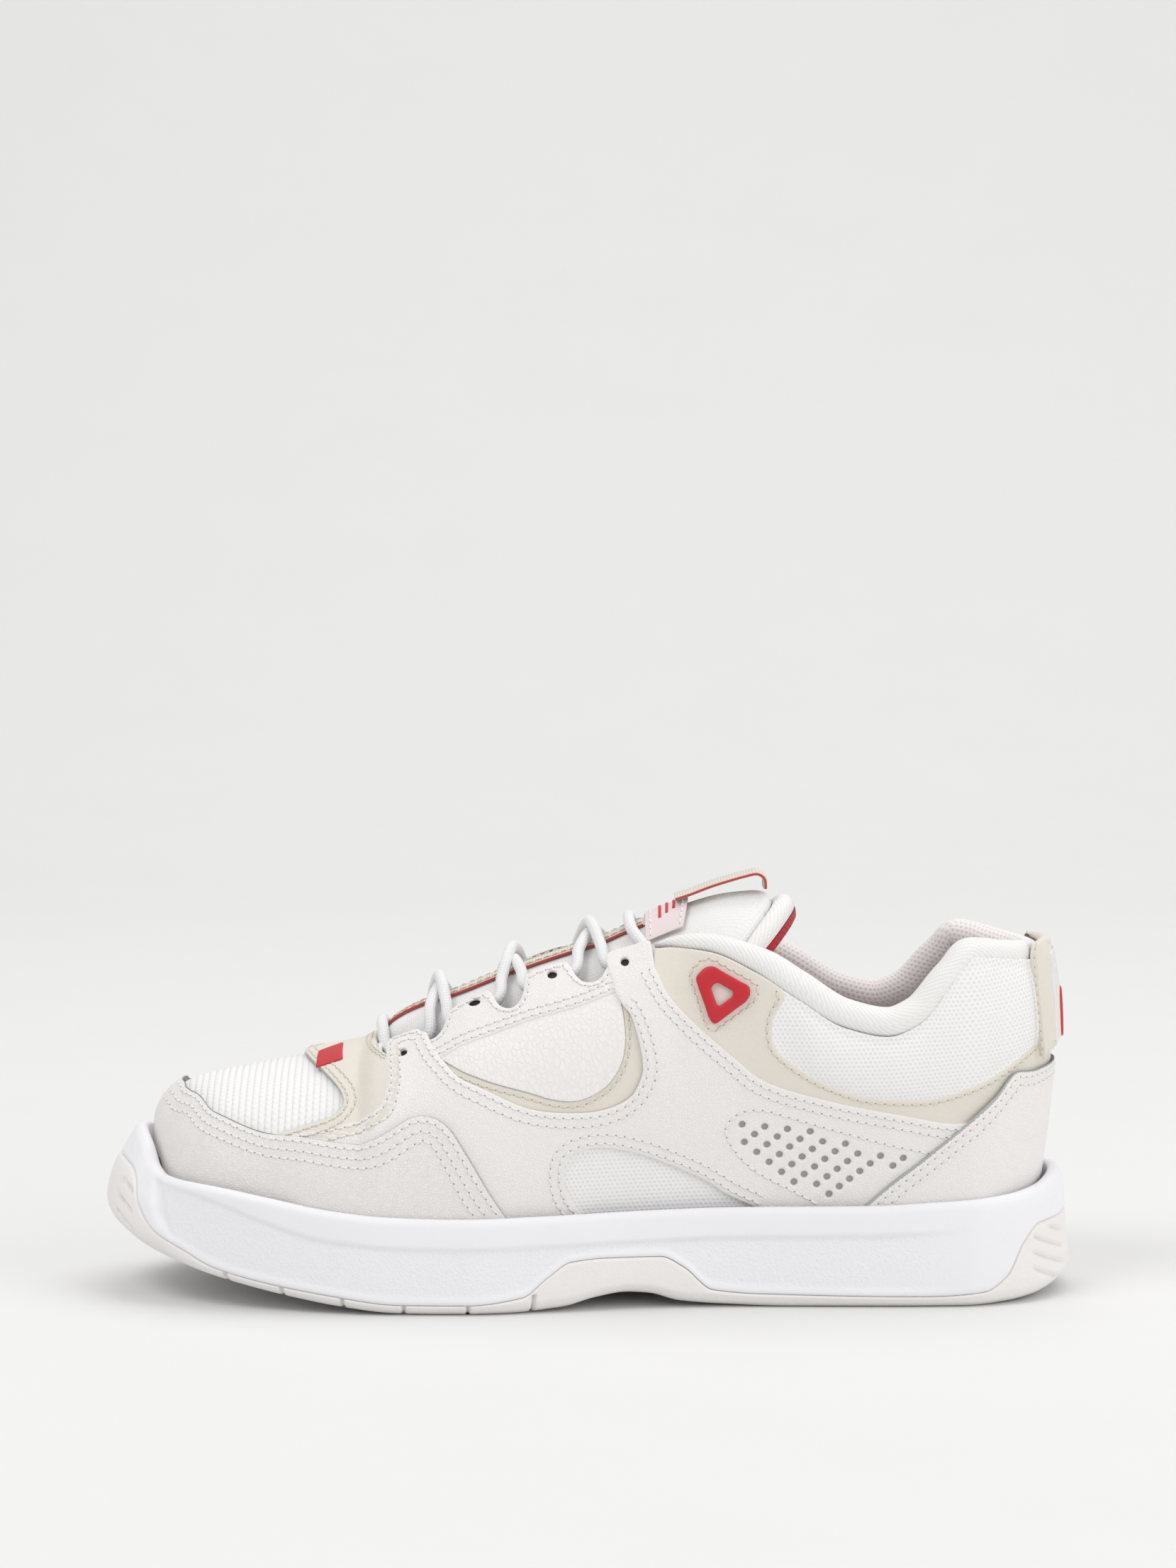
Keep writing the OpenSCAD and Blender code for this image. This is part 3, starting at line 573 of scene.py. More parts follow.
def tube(name, points, radius, mats, body="shoe", sides=16):
    """A swept round cord with a uv of (length, girth) in millimetres."""
    p = np.asarray(points, float)
    d = unit(np.gradient(p, axis=0))
    up = np.zeros_like(p)
    last = np.array([0.31, 0.62, 0.72])
    for i in range(len(p)):
        last = unit(last - d[i] * (last @ d[i]))
        up[i] = last
    side = np.cross(d, up)
    a = np.linspace(0, 2 * np.pi, sides + 1)
    r = np.broadcast_to(np.asarray(radius, float), (len(p),))[:, None, None]
    rings = p[:, None] + (side[:, None] * np.cos(a)[:, None] + up[:, None] * np.sin(a)[:, None]) * r
    uv = np.stack(np.broadcast_arrays(run_length(p)[:, None], (a * r[:, 0])), axis=-1)
    return swept(name, rings, p, uv, mats, body)


# ---------------------------------------------------------------- materials
def start(name, color, rough, sheen=0.0, specular=0.5):
    m = bpy.data.materials.new(name)
    m.use_nodes = True
    t = m.node_tree
    b = t.nodes["Principled BSDF"]
    b.inputs["Base Color"].default_value = (*color, 1)
    b.inputs["Roughness"].default_value = rough
    b.inputs["Sheen Weight"].default_value = sheen
    b.inputs["Sheen Roughness"].default_value = 0.5
    b.inputs["Specular IOR Level"].default_value = specular
    return m, t, b


def node(t, kind, inputs=None, **props):
    n = t.nodes.new("ShaderNode" + kind)
    for key, value in props.items():
        setattr(n, key, value)
    for key, value in (inputs or {}).items():
        if isinstance(value, bpy.types.NodeSocket):
            t.links.new(value, n.inputs[key])
        else:
            n.inputs[key].default_value = value
    return n


def calc(t, op, *values):
    return node(t, "Math", dict(enumerate(values)), operation=op).outputs[0]


def chart_xy(t, sx, sy, angle=0.0):
    """The piece's chart in cells of sx by sy millimetres, turned by an angle in degrees."""
    uv = node(t, "UVMap", uv_map="chart").outputs[0]
    if angle:
        uv = node(t, "Mapping", {"Vector": uv, "Rotation": (0, 0, math.radians(angle))}).outputs[0]
    scaled = node(t, "Mapping", {"Vector": uv, "Scale": (10 / sx, 10 / sy, 1)})
    s = node(t, "SeparateXYZ", {0: scaled.outputs[0]})
    return s.outputs[0], s.outputs[1]


def space(t, cell):
    """Object space in cells of the given size in millimetres."""
    c = node(t, "TexCoord").outputs["Object"]
    return node(t, "Mapping", {"Vector": c, "Scale": (1000 / cell,) * 3}).outputs[0]


def noise(t, size, detail=2.0):
    """Soft noise with features of about the given size in millimetres."""
    return node(t, "TexNoise", {"Vector": space(t, size), "Scale": 1.0, "Detail": detail}).outputs[0]


def wave(t, x, turns=1):
    """Humps that touch zero at whole numbers of x times turns."""
    return calc(t, "ABSOLUTE", calc(t, "SINE", calc(t, "MULTIPLY", x, turns * math.pi)))


def step_up(t, value, low, high):
    """Soft step from 0 to 1 as the value goes from low to high."""
    return node(t, "MapRange", {"Value": value, "From Min": low, "From Max": high},
                interpolation_type="SMOOTHSTEP").outputs[0]


def bump(t, b, height, depth):
    """Bump of the given depth in millimetres, over whatever normal the shader has already."""
    n = node(t, "Bump", {"Height": height, "Distance": depth * MM, "Strength": 1.0})
    if b.inputs["Normal"].links:
        t.links.new(b.inputs["Normal"].links[0].from_socket, n.inputs["Normal"])
    t.links.new(n.outputs[0], b.inputs["Normal"])


def tint(t, b, factor, low, high):
    """Base colour from low to high by a factor, each a share of the present colour."""
    base = tuple(b.inputs["Base Color"].default_value)[:3]
    pair = [(*(c * s for c in base), 1) for s in (low, high)]
    n = node(t, "Mix", data_type="RGBA")
    n.inputs[6].default_value, n.inputs[7].default_value = pair
    t.links.new(factor, n.inputs[0])
    t.links.new(n.outputs[2], b.inputs["Base Color"])


def textile(t, b, height, depth, dark, fuzz_size=0.3, fuzz_depth=0.08):
    """Fibre fuzz, the relief of the weave, and painted shade in its gaps, where the relief is low."""
    bump(t, b, noise(t, fuzz_size), fuzz_depth)
    bump(t, b, height, depth)
    # Painted shade: dark sets the colour where the relief is lowest, in the gaps and openings.
    tint(t, b, height, dark, 1.0)


def leather(name, color, grain, depth, rough, stretch=1.0):
    """Grain cells with soft creases between them, fine pores, painted shade in the creases and a slow random
    change of tone.
    """
    m, t, b = start(name, color, rough, 0.06)
    warp = node(t, "TexNoise", {"Vector": space(t, grain * 3), "Scale": 1.0, "Detail": 3.0})
    c = node(t, "VectorMath", {0: space(t, grain), 1: warp.outputs[1]}, operation="ADD").outputs[0]
    c = node(t, "Mapping", {"Vector": c, "Scale": (1, 1, stretch)}).outputs[0]
    cell = node(t, "TexVoronoi", {"Vector": c, "Scale": 1.0, "Randomness": 1.0}, feature="DISTANCE_TO_EDGE")
    crease = step_up(t, cell.outputs[0], 0.0, 0.22)
    slow = noise(t, 28, 3.0)
    bump(t, b, noise(t, 0.35), depth * 0.3)
    bump(t, b, crease, depth)
    # Colour: painted shade in the creases between grain cells, plus a slow random change of tone.
    shade = calc(t, "ADD", calc(t, "MULTIPLY", crease, 0.55), calc(t, "MULTIPLY", slow, 0.45))
    tint(t, b, shade, 0.955, 1.01)
    t.links.new(calc(t, "ADD", calc(t, "MULTIPLY", slow, 0.12), rough - 0.06), b.inputs["Roughness"])
    return m


def knit(name, color, wide, tall, depth, angle, dark):
    """Rows of small chevron loops."""
    m, t, b = start(name, color, 0.85, 0.35, 0.2)
    x, y = chart_xy(t, wide, tall, angle)
    across = calc(t, "PINGPONG", x, 0.5)
    loop = wave(t, calc(t, "ADD", y, across))
    seam = calc(t, "POWER", wave(t, x, 2), 0.5)
    height = calc(t, "MULTIPLY", calc(t, "POWER", loop, 0.7), seam)
    textile(t, b, height, depth, dark)
    return m


def cells(name, color, size, depth, dark):
    """Spacer mesh: round openings on a hexagonal grid."""
    m, t, b = start(name, color, 0.9, 0.3, 0.2)
    x, y = chart_xy(t, size, size * 1.732)

    def holes(dx, dy):
        px = calc(t, "SUBTRACT", calc(t, "FRACT", calc(t, "ADD", x, dx)), 0.5)
        py = calc(t, "MULTIPLY", calc(t, "SUBTRACT", calc(t, "FRACT", calc(t, "ADD", y, dy)), 0.5), 1.732)
        return calc(t, "SQRT", calc(t, "ADD", calc(t, "MULTIPLY", px, px), calc(t, "MULTIPLY", py, py)))

    near = calc(t, "MINIMUM", holes(0, 0), holes(0.5, 0.5))
    textile(t, b, step_up(t, near, 0.16, 0.36), depth, dark)
    return m


def woven(name, color, size, depth, dark=0.82):
    """Plain weave."""
    m, t, b = start(name, color, 0.85, 0.25, 0.25)
    x, y = chart_xy(t, size, size)
    over_under = calc(t, "MODULO", calc(t, "ADD", calc(t, "FLOOR", x), calc(t, "FLOOR", y)), 2.0)
    height = node(t, "Mix", {0: over_under, 2: wave(t, x), 3: wave(t, y)}).outputs[0]
    textile(t, b, height, depth, dark, 0.25, 0.06)
    return m


def ribbed(name, color, pitch, depth, angle):
    """Ribs of knit, each a chain of small links."""
    m, t, b = start(name, color, 0.85, 0.3, 0.2)
    x, y = chart_xy(t, pitch, pitch * 0.75, angle)
    link = wave(t, calc(t, "ADD", y, calc(t, "PINGPONG", x, 0.5)))
    rib = calc(t, "MULTIPLY", calc(t, "POWER", wave(t, x), 0.6), 0.75)
    textile(t, b, calc(t, "ADD", rib, calc(t, "MULTIPLY", link, 0.25)), depth, 0.87)
    return m


def rubber(name, color, rough, pebble=0.35, depth=0.05):
    """Moulded compound: a fine even texture, stronger where the mask says, and a faint slow change of tone."""
    m, t, b = start(name, color, rough, 0.0, 0.4)
    b.inputs["Subsurface Weight"].default_value = 0.04
    b.inputs["Subsurface Radius"].default_value = (0.002, 0.002, 0.002)
    pebbles = space(t, pebble * 2.2)
    grain = node(t, "TexVoronoi", {"Vector": pebbles, "Scale": 1.0}, feature="SMOOTH_F1").outputs[0]
    mask = node(t, "Attribute", attribute_name="texture").outputs["Fac"]
    bump(t, b, noise(t, pebble), depth * 0.5)
    bump(t, b, calc(t, "MULTIPLY", grain, mask), depth * 4)
    tint(t, b, noise(t, 35, 3.0), 0.985, 1.01)
    return m


def plain(name, color, rough, sheen=0.0):
    """Thread, cut edges and films: a plain colour with a little fibre noise."""
    m, t, b = start(name, color, rough, sheen)
    fibre = noise(t, 0.25)
    bump(t, b, fibre, 0.05)
    tint(t, b, fibre, 0.93, 1.03)
    return m


CREAM = (0.89, 0.86, 0.835)
WHITE = (0.878, 0.848, 0.835)
BRIGHT = (0.91, 0.903, 0.9)
BEIGE = (0.805, 0.752, 0.675)
RED = (0.56, 0.022, 0.032)

white_leather = leather("white_leather", WHITE, 0.9, 0.07, 0.5)
cream_leather = leather("cream_leather", CREAM, 0.75, 0.10, 0.58)
tumbled = leather("tumbled_leather", WHITE, 1.6, 0.09, 0.5, stretch=0.6)
suede = leather("beige_suede", BEIGE, 0.5, 0.04, 0.62)
rib_mesh = ribbed("ribbed_knit", BRIGHT, 2.1, 0.26, 0)
air_mesh = cells("white_mesh", BRIGHT, 1.45, 0.12, dark=0.9)
tongue_mesh = knit("tongue_mesh", (0.93, 0.925, 0.92), 1.3, 1.0, 0.12, 0, dark=0.93)
collar_cloth = ribbed("collar_knit", (0.9, 0.885, 0.87), 1.15, 0.12, 52)
lining_cloth = cells("lining_mesh", (0.89, 0.84, 0.83), 1.7, 0.16, dark=0.87)
red_cloth = woven("red_lining", RED, 0.8, 0.12, dark=0.7)
tape = woven("webbing_tape", BEIGE, 0.9, 0.15)
tab_cloth = woven("heel_tab_cloth", (0.86, 0.85, 0.835), 1.3, 0.16)
label_cloth = woven("label_cloth", (0.87, 0.74, 0.74), 0.45, 0.05, dark=0.93)
braid = knit("lace_braid", (0.90, 0.90, 0.91), 1.9, 1.1, 0.12, 90, dark=0.9)
foam = rubber("midsole_foam", (0.87, 0.865, 0.895), 0.48)
gum = rubber("outsole_rubber", (0.86, 0.835, 0.81), 0.55)
red_gloss = rubber("red_moulding", RED, 0.42, 0.2, 0.02)
red_print = plain("red_print", RED, 0.5)
red_edge = plain("red_edge", (0.50, 0.06, 0.05), 0.8, 0.3)
thread = plain("thread_white", (0.86, 0.85, 0.83), 0.7, 0.3)
beige_thread = plain("thread_beige", (0.74, 0.69, 0.59), 0.7, 0.3)
needle_shade = plain("needle_hole_shade", (0.36, 0.345, 0.32), 0.95)
raw_grey = plain("cut_edge", (0.42, 0.44, 0.43), 0.95, 0.2)
film = plain("aglet_film", (0.86, 0.86, 0.88), 0.3)
# Eyelet hole floors: near black, painted shade for the dark inside of the holes.
eyelet_shade = plain("eyelet_hole_shade", (0.05, 0.048, 0.045), 0.95)
# Perforation hole floors: grey, painted shade on the pale mesh below the holes.
perforation_shade = plain("perforation_hole_shade", (0.42, 0.41, 0.395), 0.95)


# ---------------------------------------------------------------- the lace
LACE_R = LACE_D / 2
RIDGE = [[-66, 76], [-60, 82.6], [-51, 87.6], [-41, 91.2], [-29, 96.3], [-20, 99.6], [-6, 104.4],
         [2, 106.8], [13, 111.6], [29, 118.2], [43, 122], [52, 122.8], [58, 121.4]]
ARCH = [[-66, 0.045], [-40, 0.032], [0, 0.025], [30, 0.027], [58, 0.03]]
END_ROUND = 0.026
TONGUE_W = [[-66, 5], [-62, 7], [-50, 12.8], [-42, 16.5], [-30, 19.5], [0, 21.5], [58, 23.56]]
TABS = [[-62.5, -50.5], [-42, -28.6], [-18.6, -5.2], [6, 16.4]]


def tongue_point(x, y, off):
    x, y = np.broadcast_arrays(np.asarray(x, float), np.asarray(y, float))
    z = curve(RIDGE, x) - curve(ARCH, x) * y * y + off
    return np.stack([x - END_ROUND * y * y * smooth(18, 57, x), y, z], axis=-1)


def bed(x, y, lift=0.5):
    return np.array([x, y, float(curve(CUP, x)) + 6.3 + LACE_R + lift])


def under_tab(i, end, side):
    return skin(side * plan_t(TABS[i][end]), 0.985, -1.5 - LACE_R) + np.array([0, 0, -0.6])


def over(x, y, lift):
    return tongue_point(x, y, 1.8 + LACE_R + lift)


def crossing(i, side, lift):
    """One strand, from a tab over the tongue to the next tab on the other side."""
    a, b = TABS[i][1], TABS[i + 1][0]
    return [under_tab(i, 1, side), over(mix(a, b, 0.2), side * 12, 0.8),
            over(mix(a, b, 0.36), side * 6, 0.4 + lift * 0.6), over(mix(a, b, 0.5), 0, lift),
            over(mix(a, b, 0.64), -side * 6, 0.4 + lift * 0.6), over(mix(a, b, 0.8), -side * 12, 0.8),
            under_tab(i + 1, 0, -side)]


def down_wall(x, v, depth):
    return skin(plan_t(x), v, -depth)


def lace_route():
    """The cord in the order it is threaded, from one tip to the other, as in the CAD."""
    tail_a = [down_wall(4.5, 0.9, 4.2), down_wall(3, 0.76, 4.3), down_wall(2, 0.6, 5.2), down_wall(0, 0.4, 7.6),
              down_wall(-4, 0.2, 7.8), bed(-13, 26.5, 1.5), bed(-28, 30), bed(-44, 32), bed(-60, 32, 1.3)]
    tail_b = [down_wall(18, 0.9, 4.2), down_wall(19, 0.76, 4.3), down_wall(20, 0.6, 5.2), down_wall(22, 0.4, 7.6),
              down_wall(26, 0.2, 7.8), bed(35, 20.2, 1.6), bed(50, 19.2), bed(66, 19.4), bed(82, 20.4, 0.8)]
    top_lift = LACE_D + 0.3
    return np.array(tail_a[::-1] + [under_tab(3, 0, 1)] + crossing(2, -1, 0.3)[::-1][1:]
                    + crossing(1, 1, 0.3)[::-1] + crossing(0, -1, 0.3)[::-1]
                    + [under_tab(0, 0, -1), over(-63.6, -6, 0.6), over(-63.8, 0, 0.6), over(-63.6, 6, 0.6),
                       under_tab(0, 0, 1)]
                    + crossing(0, 1, top_lift) + crossing(1, -1, top_lift) + crossing(2, 1, top_lift)
                    + [under_tab(3, 1, -1), over(13.4, -11, 0.5), over(12.6, 0, 0.5), over(13.4, 11, 0.5),
                       under_tab(3, 1, 1)] + tail_b)


def make_aglet(name, tip, before):
    d = unit(tip - before)
    line = tip + d * np.linspace(0.2, 20, 24)[:, None]
    r = LACE_R * 0.8 * np.interp(np.linspace(0, 1, 24), [0, 0.03, 0.06, 0.94, 1], [0.94, 1.02, 1, 1, 0.8])
    return stands_for(tube(name, line, r, [film]), "aglet_film", name)


def make_lace():
    route = lace_route()
    line = catmull(route, 1.1)
    lace = stands_for(tube("lace", line, LACE_R, [braid], sides=18), "lace_braid", "lace")
    tips = [make_aglet("aglet_front", route[0], route[1]), make_aglet("aglet_back", route[-1], route[-2])]


make_lace()


# ---------------------------------------------------------------- outlines of the upper
FRONT = [(-98.4, 51.9), (-86, 53.3), (-76.8, 55.2), (-67.6, 58), (-63, 61.7), (-60.9, 68.2)]
WAIST = [(-45.2, 76), (-43.4, 74.6), (-39.9, 71.2), (-32.4, 67.7), (-22.8, 63.5), (-16, 61.4),
         (-7.8, 60.4), (1.1, 60.5), (8, 62.1), (13.5, 65.6), (16.2, 71.2), (16.5, 75.3), (15.5, 81.1),
         (13.2, 88.7), (10.6, 92)]
SHOULDER = [(20.4, 102.8), (24.9, 94.4), (32.4, 86.8), (43.7, 76.8), (55, 68.5), (75.9, 62.6),
            (92.6, 59.3), (109.3, 56), (122, 56.5)]
PANEL_LOW = [(-45.4, 76.6), (-44.7, 75.3), (-30.9, 69.8), (-17.1, 66.1), (-10.5, 64.2), (-3, 63.8),
             (4.6, 67.2), (9.1, 72.6), (11, 77.9), (11.4, 84), (10.6, 90.9), (9.6, 95)]
SEAM = [(-45.6, 75.2), (-30.9, 82.1), (-17.1, 87.2), (-6.3, 90.3), (9.5, 96.3)]
WINDOW = [(-1.6, 27.4), (-5.7, 33.7), (-7.4, 39.3), (-7.1, 44.8), (-5, 47.6), (-0.2, 49.1), (5.3, 49.3),
          (11.4, 48.3), (18.3, 46.2), (28.5, 42), (36.6, 37.9), (42.6, 33.9), (52, 29)]
ANKLE = [(58.4, 97.5), (59.6, 94.7), (56.6, 89.4), (55.8, 84), (57.3, 78.7), (62.6, 74.1), (70.1, 69.5),
         (81.4, 65), (90.2, 63.7), (105.5, 63.7), (120.8, 68.3), (132.3, 74.5), (138.5, 78.2)]
GUARD = [(-24.5, 26.7), (-30.9, 38.3), (-37.3, 49.5), (-41.9, 56), (-47.4, 58.8), (-52.9, 58.3),
         (-58.4, 55.1), (-65.8, 50.9), (-72.2, 49.9), (-86, 51.3), (-99.7, 52.7), (-113.5, 56.9),
         (-121.5, 61.3)]
HEEL_EDGE = [[83.4, 30], [92.6, 38.1], [100.9, 44.4], [113.4, 54.1], [125.9, 63.4], [134.5, 70.6],
             [139, 70.2], [143, 70.8], [147, 71.6]]
PERFORATED = [(103.4, 47), (84.3, 51.7), (63.4, 57.6), (53.4, 60.3), (46.7, 59.7), (42.6, 56.7),
              (41.7, 53.4), (44.2, 48.3), (50.9, 41.5), (63.4, 34.8), (70.1, 31)]
SADDLE_FRONT = [(-86.9, 73.4), (-86, 71.6), (-80.5, 68.4), (-75.9, 64.6), (-74.5, 60.9), (-77.7, 57.7),
                (-86, 54.9), (-97, 51.4)]
LAYER_1, LAYER_2, BASE = 1.3, 2.85, -0.25
EYESTAY_OFF, BAND_OFF, UNDERLAY_OFF = 0.95, 0.3, -0.2
LINING_OFF, LINING_WALL = -3.2, 1.6
LENGTH_ROUND = np.interp(1, STATIONS, RUN) - np.interp(-1, STATIONS, RUN)


def side_name(side):
    return "lateral" if side < 0 else "medial"


def drawn(side, points, step=0.8):
    """A smooth chart line through (x, z) points of the side view."""
    return catmull(on_side(side, points), step)


def shares(side, points, step=0.8):
    """A smooth chart line through (station x, share of height) points."""
    return catmull(on_share(side, points), step)


def join(*lines):
    return np.concatenate(lines)


def level_line(run_0, run_1, height, n):
    """A line in the side chart at one height up the wall."""
    return np.stack([np.linspace(run_0, run_1, n), np.full(n, height)], axis=1)


def seams(name, lines, mat=thread, *, off, chart=side_chart):
    """Stitch rows along chart lines."""
    stitches(name, [on_skin(resample(line, 0.6), chart, off) for line in lines], [mat, needle_shade])


def ring(centre, radius, n=14):
    a = -2 * np.pi * np.arange(n) / n
    return np.asarray(centre) + radius * np.stack([np.cos(a), np.sin(a)], axis=1)


def wells(name, centres, radius, depth, off, mat):
    """The sunken floors under holes through a piece, coloured as painted shade."""
    verts, faces = [], []
    for centre in centres:
        u, v = side_chart(ring(centre, radius, 12))
        floor = np.full(12, off - depth)
        middle = skin(*side_chart(np.asarray(centre)[None]), np.array([off - depth]))
        base = 25 * len(verts)
        verts.append(np.concatenate([skin(u, v, np.full(12, off - 0.35)), skin(u, v, floor), middle]))
        faces += grid_faces(2, 12, closed=True, start=base).tolist()
        faces += [[base + 24, base + 12 + i, base + 12 + (i + 1) % 12] for i in range(12)]
    make(name, np.concatenate(verts), faces, [mat])


def perforations():
    """Centres of the staggered slanting rows of small holes, as (x, z)."""
    i, j = np.meshgrid(np.arange(-3, 9), np.arange(-4, 8))
    x = 47.5 + 6.9 * i + 3.8 * j
    z = 50.5 - 0.7 * i - 3.1 * j
    centres = np.stack([x.ravel(), z.ravel()], axis=1)
    outline = np.array(PERFORATED + [(76, 31), (99, 44)])
    return centres[inside(centres, outline) & (clearance(centres, outline) > 2.3)]


# ---------------------------------------------------------------- panels of the upper
def base_sheet(name, slot, mat, u_range, v_low, v_high, off, wall, grid, puff=None, uv_of=None):
    """A textile layer between two lines of height shares, whose edges lie under other pieces."""
    nu, nv = grid
    u = np.linspace(*u_range, nu)
    lo, hi = v_low(u), v_high(u)
    v = lo[:, None] + (hi - lo)[:, None] * np.linspace(0, 1, nv)
    uu = np.broadcast_to(u[:, None], v.shape)
    height = np.full(v.shape, float(off))
    if puff is not None:
        height = height + puff(uu, v)
    top_side, under = skin(uu, v, height), skin(uu, v, height - wall)
    uv = surface_chart(uu, v) if uv_of is None else uv_of(top_side)
    sheet(name, top_side, under, uv, mat, slot)


def level(v):
    """A line at the same share of the height all along."""
    return lambda u: np.full(len(u), float(v))


def toe_mesh():
    end = float(plan_t(-64))
    base_sheet("toe_mesh", "ribbed_knit", rib_mesh, (-end, end), level(0.25), level(1), BASE, 1.2, (160, 44),
               uv_of=lambda p: p[..., :2])


def vamp_saddle():
    """Beige piece over the ridge between the two quarters, stitched; its red print comes from vamp_mark."""
    lines = []
    for side in (LATERAL, MEDIAL):
        tv = locate(side, SADDLE_FRONT + [(-92, 47), (-70, 52), (-58, 62), (-56.5, 70), (-57.5, 79.5)])
        run = (1 - tv[:, 1]) * np.interp(side * tv[:, 0], STATIONS, HEIGHT)
        lines.append(np.stack([plan_x(tv[:, 0]), side * run], axis=1))
    lateral, medial = lines
    lateral[0, 1] = medial[0, 1] = 0
    front = catmull(np.concatenate([lateral[7::-1], medial[1:8]]), 0.8)
    back_l, back_m = lateral[8:], medial[8:]
    throat = np.array([[-61, -9], [-64.5, -5], [-65.5, 0], [-64.5, 5], [-61, 9]])
    outline = join(front, back_m, throat[::-1], back_l[::-1])
    clad("vamp_saddle", "beige_suede", outline, LAYER_1, 1.3, [suede, raw_grey], chart=ridge_chart,
         raw=[front])
    rows = [inset(front, -1.5, closed=False), inset(front, -3.9, closed=False)]
    seams("vamp_saddle_stitches", rows, beige_thread, off=LAYER_1, chart=ridge_chart)
    ahead = np.array([[-0.2, 0], [-0.6, 0], [-1, 0], [-0.6, 0], [-0.2, 0]])
    for k, d in enumerate((1.6, 3.8)):
        apart = [[0, -d * 0.5], [0, -d * 0.3], [0, 0], [0, d * 0.3], [0, d * 0.5]]
        arc = catmull(throat + ahead * d + apart, 0.6)
        seams(f"vamp_saddle_throat_stitches_{k}", [arc], beige_thread, off=LAYER_1, chart=ridge_chart)


def vamp_mark():
    """A plain red bar print."""
    tv = locate(LATERAL, [(-83.4, 69.2), (-83.2, 72.6), (-75.8, 74.6), (-75.2, 71.6)])
    run = -(1 - tv[:, 1]) * np.interp(-tv[:, 0], STATIONS, HEIGHT)
    a, b, c, d = np.stack([plan_x(tv[:, 0]), run], axis=1)
    outline = np.array([a, d, c, b])
    clad("vamp_mark", "red_print", outline, LAYER_1 + 0.55, 0.5, [red_print], chart=ridge_chart, step=1.0)


def run_at(x):
    """Run along the rim from the toe to station x."""
    return float(np.interp(plan_t(x), STATIONS, RUN))


def toe_sink(p):
    """The toe overlay comes down to the knit where no quarter lies under it."""
    return -1.4 * (1 - smooth(run_at(-104), run_at(-86), np.abs(p[:, 0])))


def toe_overlay():
    front = surface_chart(np.zeros(1), v_at(np.zeros(1), 63.6))
    upper_edge = catmull(np.concatenate([on_side(LATERAL, GUARD), front, on_side(MEDIAL, GUARD[::-1])]), 0.9)
    low = level_line(upper_edge[-1, 0] + 1, upper_edge[0, 0] - 1, -2.5, 200)
    clad("toe_overlay", "cream_leather", join(upper_edge, low), LAYER_2, 1.35, [cream_leather, raw_grey],
         step=2.2, raw=[upper_edge], lift=lambda p, gap: toe_sink(p))
    rows = [inset(upper_edge, -d, closed=False) for d in (1.7, 4.6, 7.3)]
    rows = [row[row[:, 1] > 2] for row in rows]
    seams("toe_overlay_stitches", rows, off=lambda p: LAYER_2 + toe_sink(p))


def quarter_outline(side):
    front = drawn(side, FRONT)
    tab_1 = shares(side, [(-61.6, 0.93), (-61.2, 0.97), (-59.5, 0.995), (-55, 1.0), (-51.5, 0.99),
                          (-50.3, 0.96)])
    notch = drawn(side, [(-48.9, 81.6), (-47.6, 79)] + WAIST[:2], 0.6)[:-1]
    waist = drawn(side, WAIST[1:])
    tab_4 = shares(side, [(5.6, 0.93), (5.4, 0.965), (6.4, 0.992), (9, 1.0), (16, 1.0), (19, 0.995)])
    shoulder = drawn(side, SHOULDER)
    u_back, u_front = side * plan_t(122), side * plan_t(-100)
    low = surface_chart(np.linspace(u_back, u_front, 60), np.full(60, -0.03))
    return front, tab_1, notch, waist, tab_4, shoulder, low


def quarter(side):
    front, tab_1, notch, waist, tab_4, shoulder, low = quarter_outline(side)
    window = drawn(side, WINDOW)
    rear = on_side(side, [(10.6, 92), (8.4, 95.4)])
    edge_line = join(front, tab_1, notch, waist, rear[1:], tab_4, shoulder)
    s = np.abs(low[:, 0])
    w0, w1 = sorted((abs(window[0, 0]), abs(window[-1, 0])))
    back_part, front_part = low[s > w1], low[s < w0]
    outline = join(edge_line, back_part, window[::-1], front_part)
    tab_holes = on_side(side, [(-56.3, 75.9), (11.4, 104.0)])
    dots = on_side(side, [tuple(p) for p in perforations()])
    holes = [ring(c, 1.5) for c in tab_holes] + [ring(c, 1.1, 12) for c in dots]
    name = side_name(side)
    clad(f"quarter_{name}", "white_leather", outline, LAYER_1, 1.3, [white_leather], holes=holes, step=1.9)
    wells(f"eyelets_{name}_ends", tab_holes, 1.75, 1.7, LAYER_1, eyelet_shade)
    wells(f"perforations_{name}", dots, 1.25, 1.0, LAYER_1, perforation_shade)
    rows = [offset_row(join(front, tab_1, notch, waist), d, side) for d in (1.5, 4.2)]
    rows += [offset_row(resample(shoulder, 0.8), d, side) for d in (1.7, 4.3)]
    rows += [offset_row(window, -d, side) for d in (1.6, 4.2)]
    rows += [drawn(side, PERFORATED)]
    seams(f"quarter_{name}_stitches", rows, off=LAYER_1)


def offset_row(line, d, side):
    """A stitch row d inside an edge that runs from the toe to the heel over the top of a piece."""
    moved = inset(line, -d * side, closed=False)
    turn = np.einsum("ij,ij->i", np.diff(moved, axis=0), np.diff(line, axis=0)) > 0
    keep = np.concatenate([[True], turn])
    return catmull(resample(moved[keep], 2.0), 0.6)


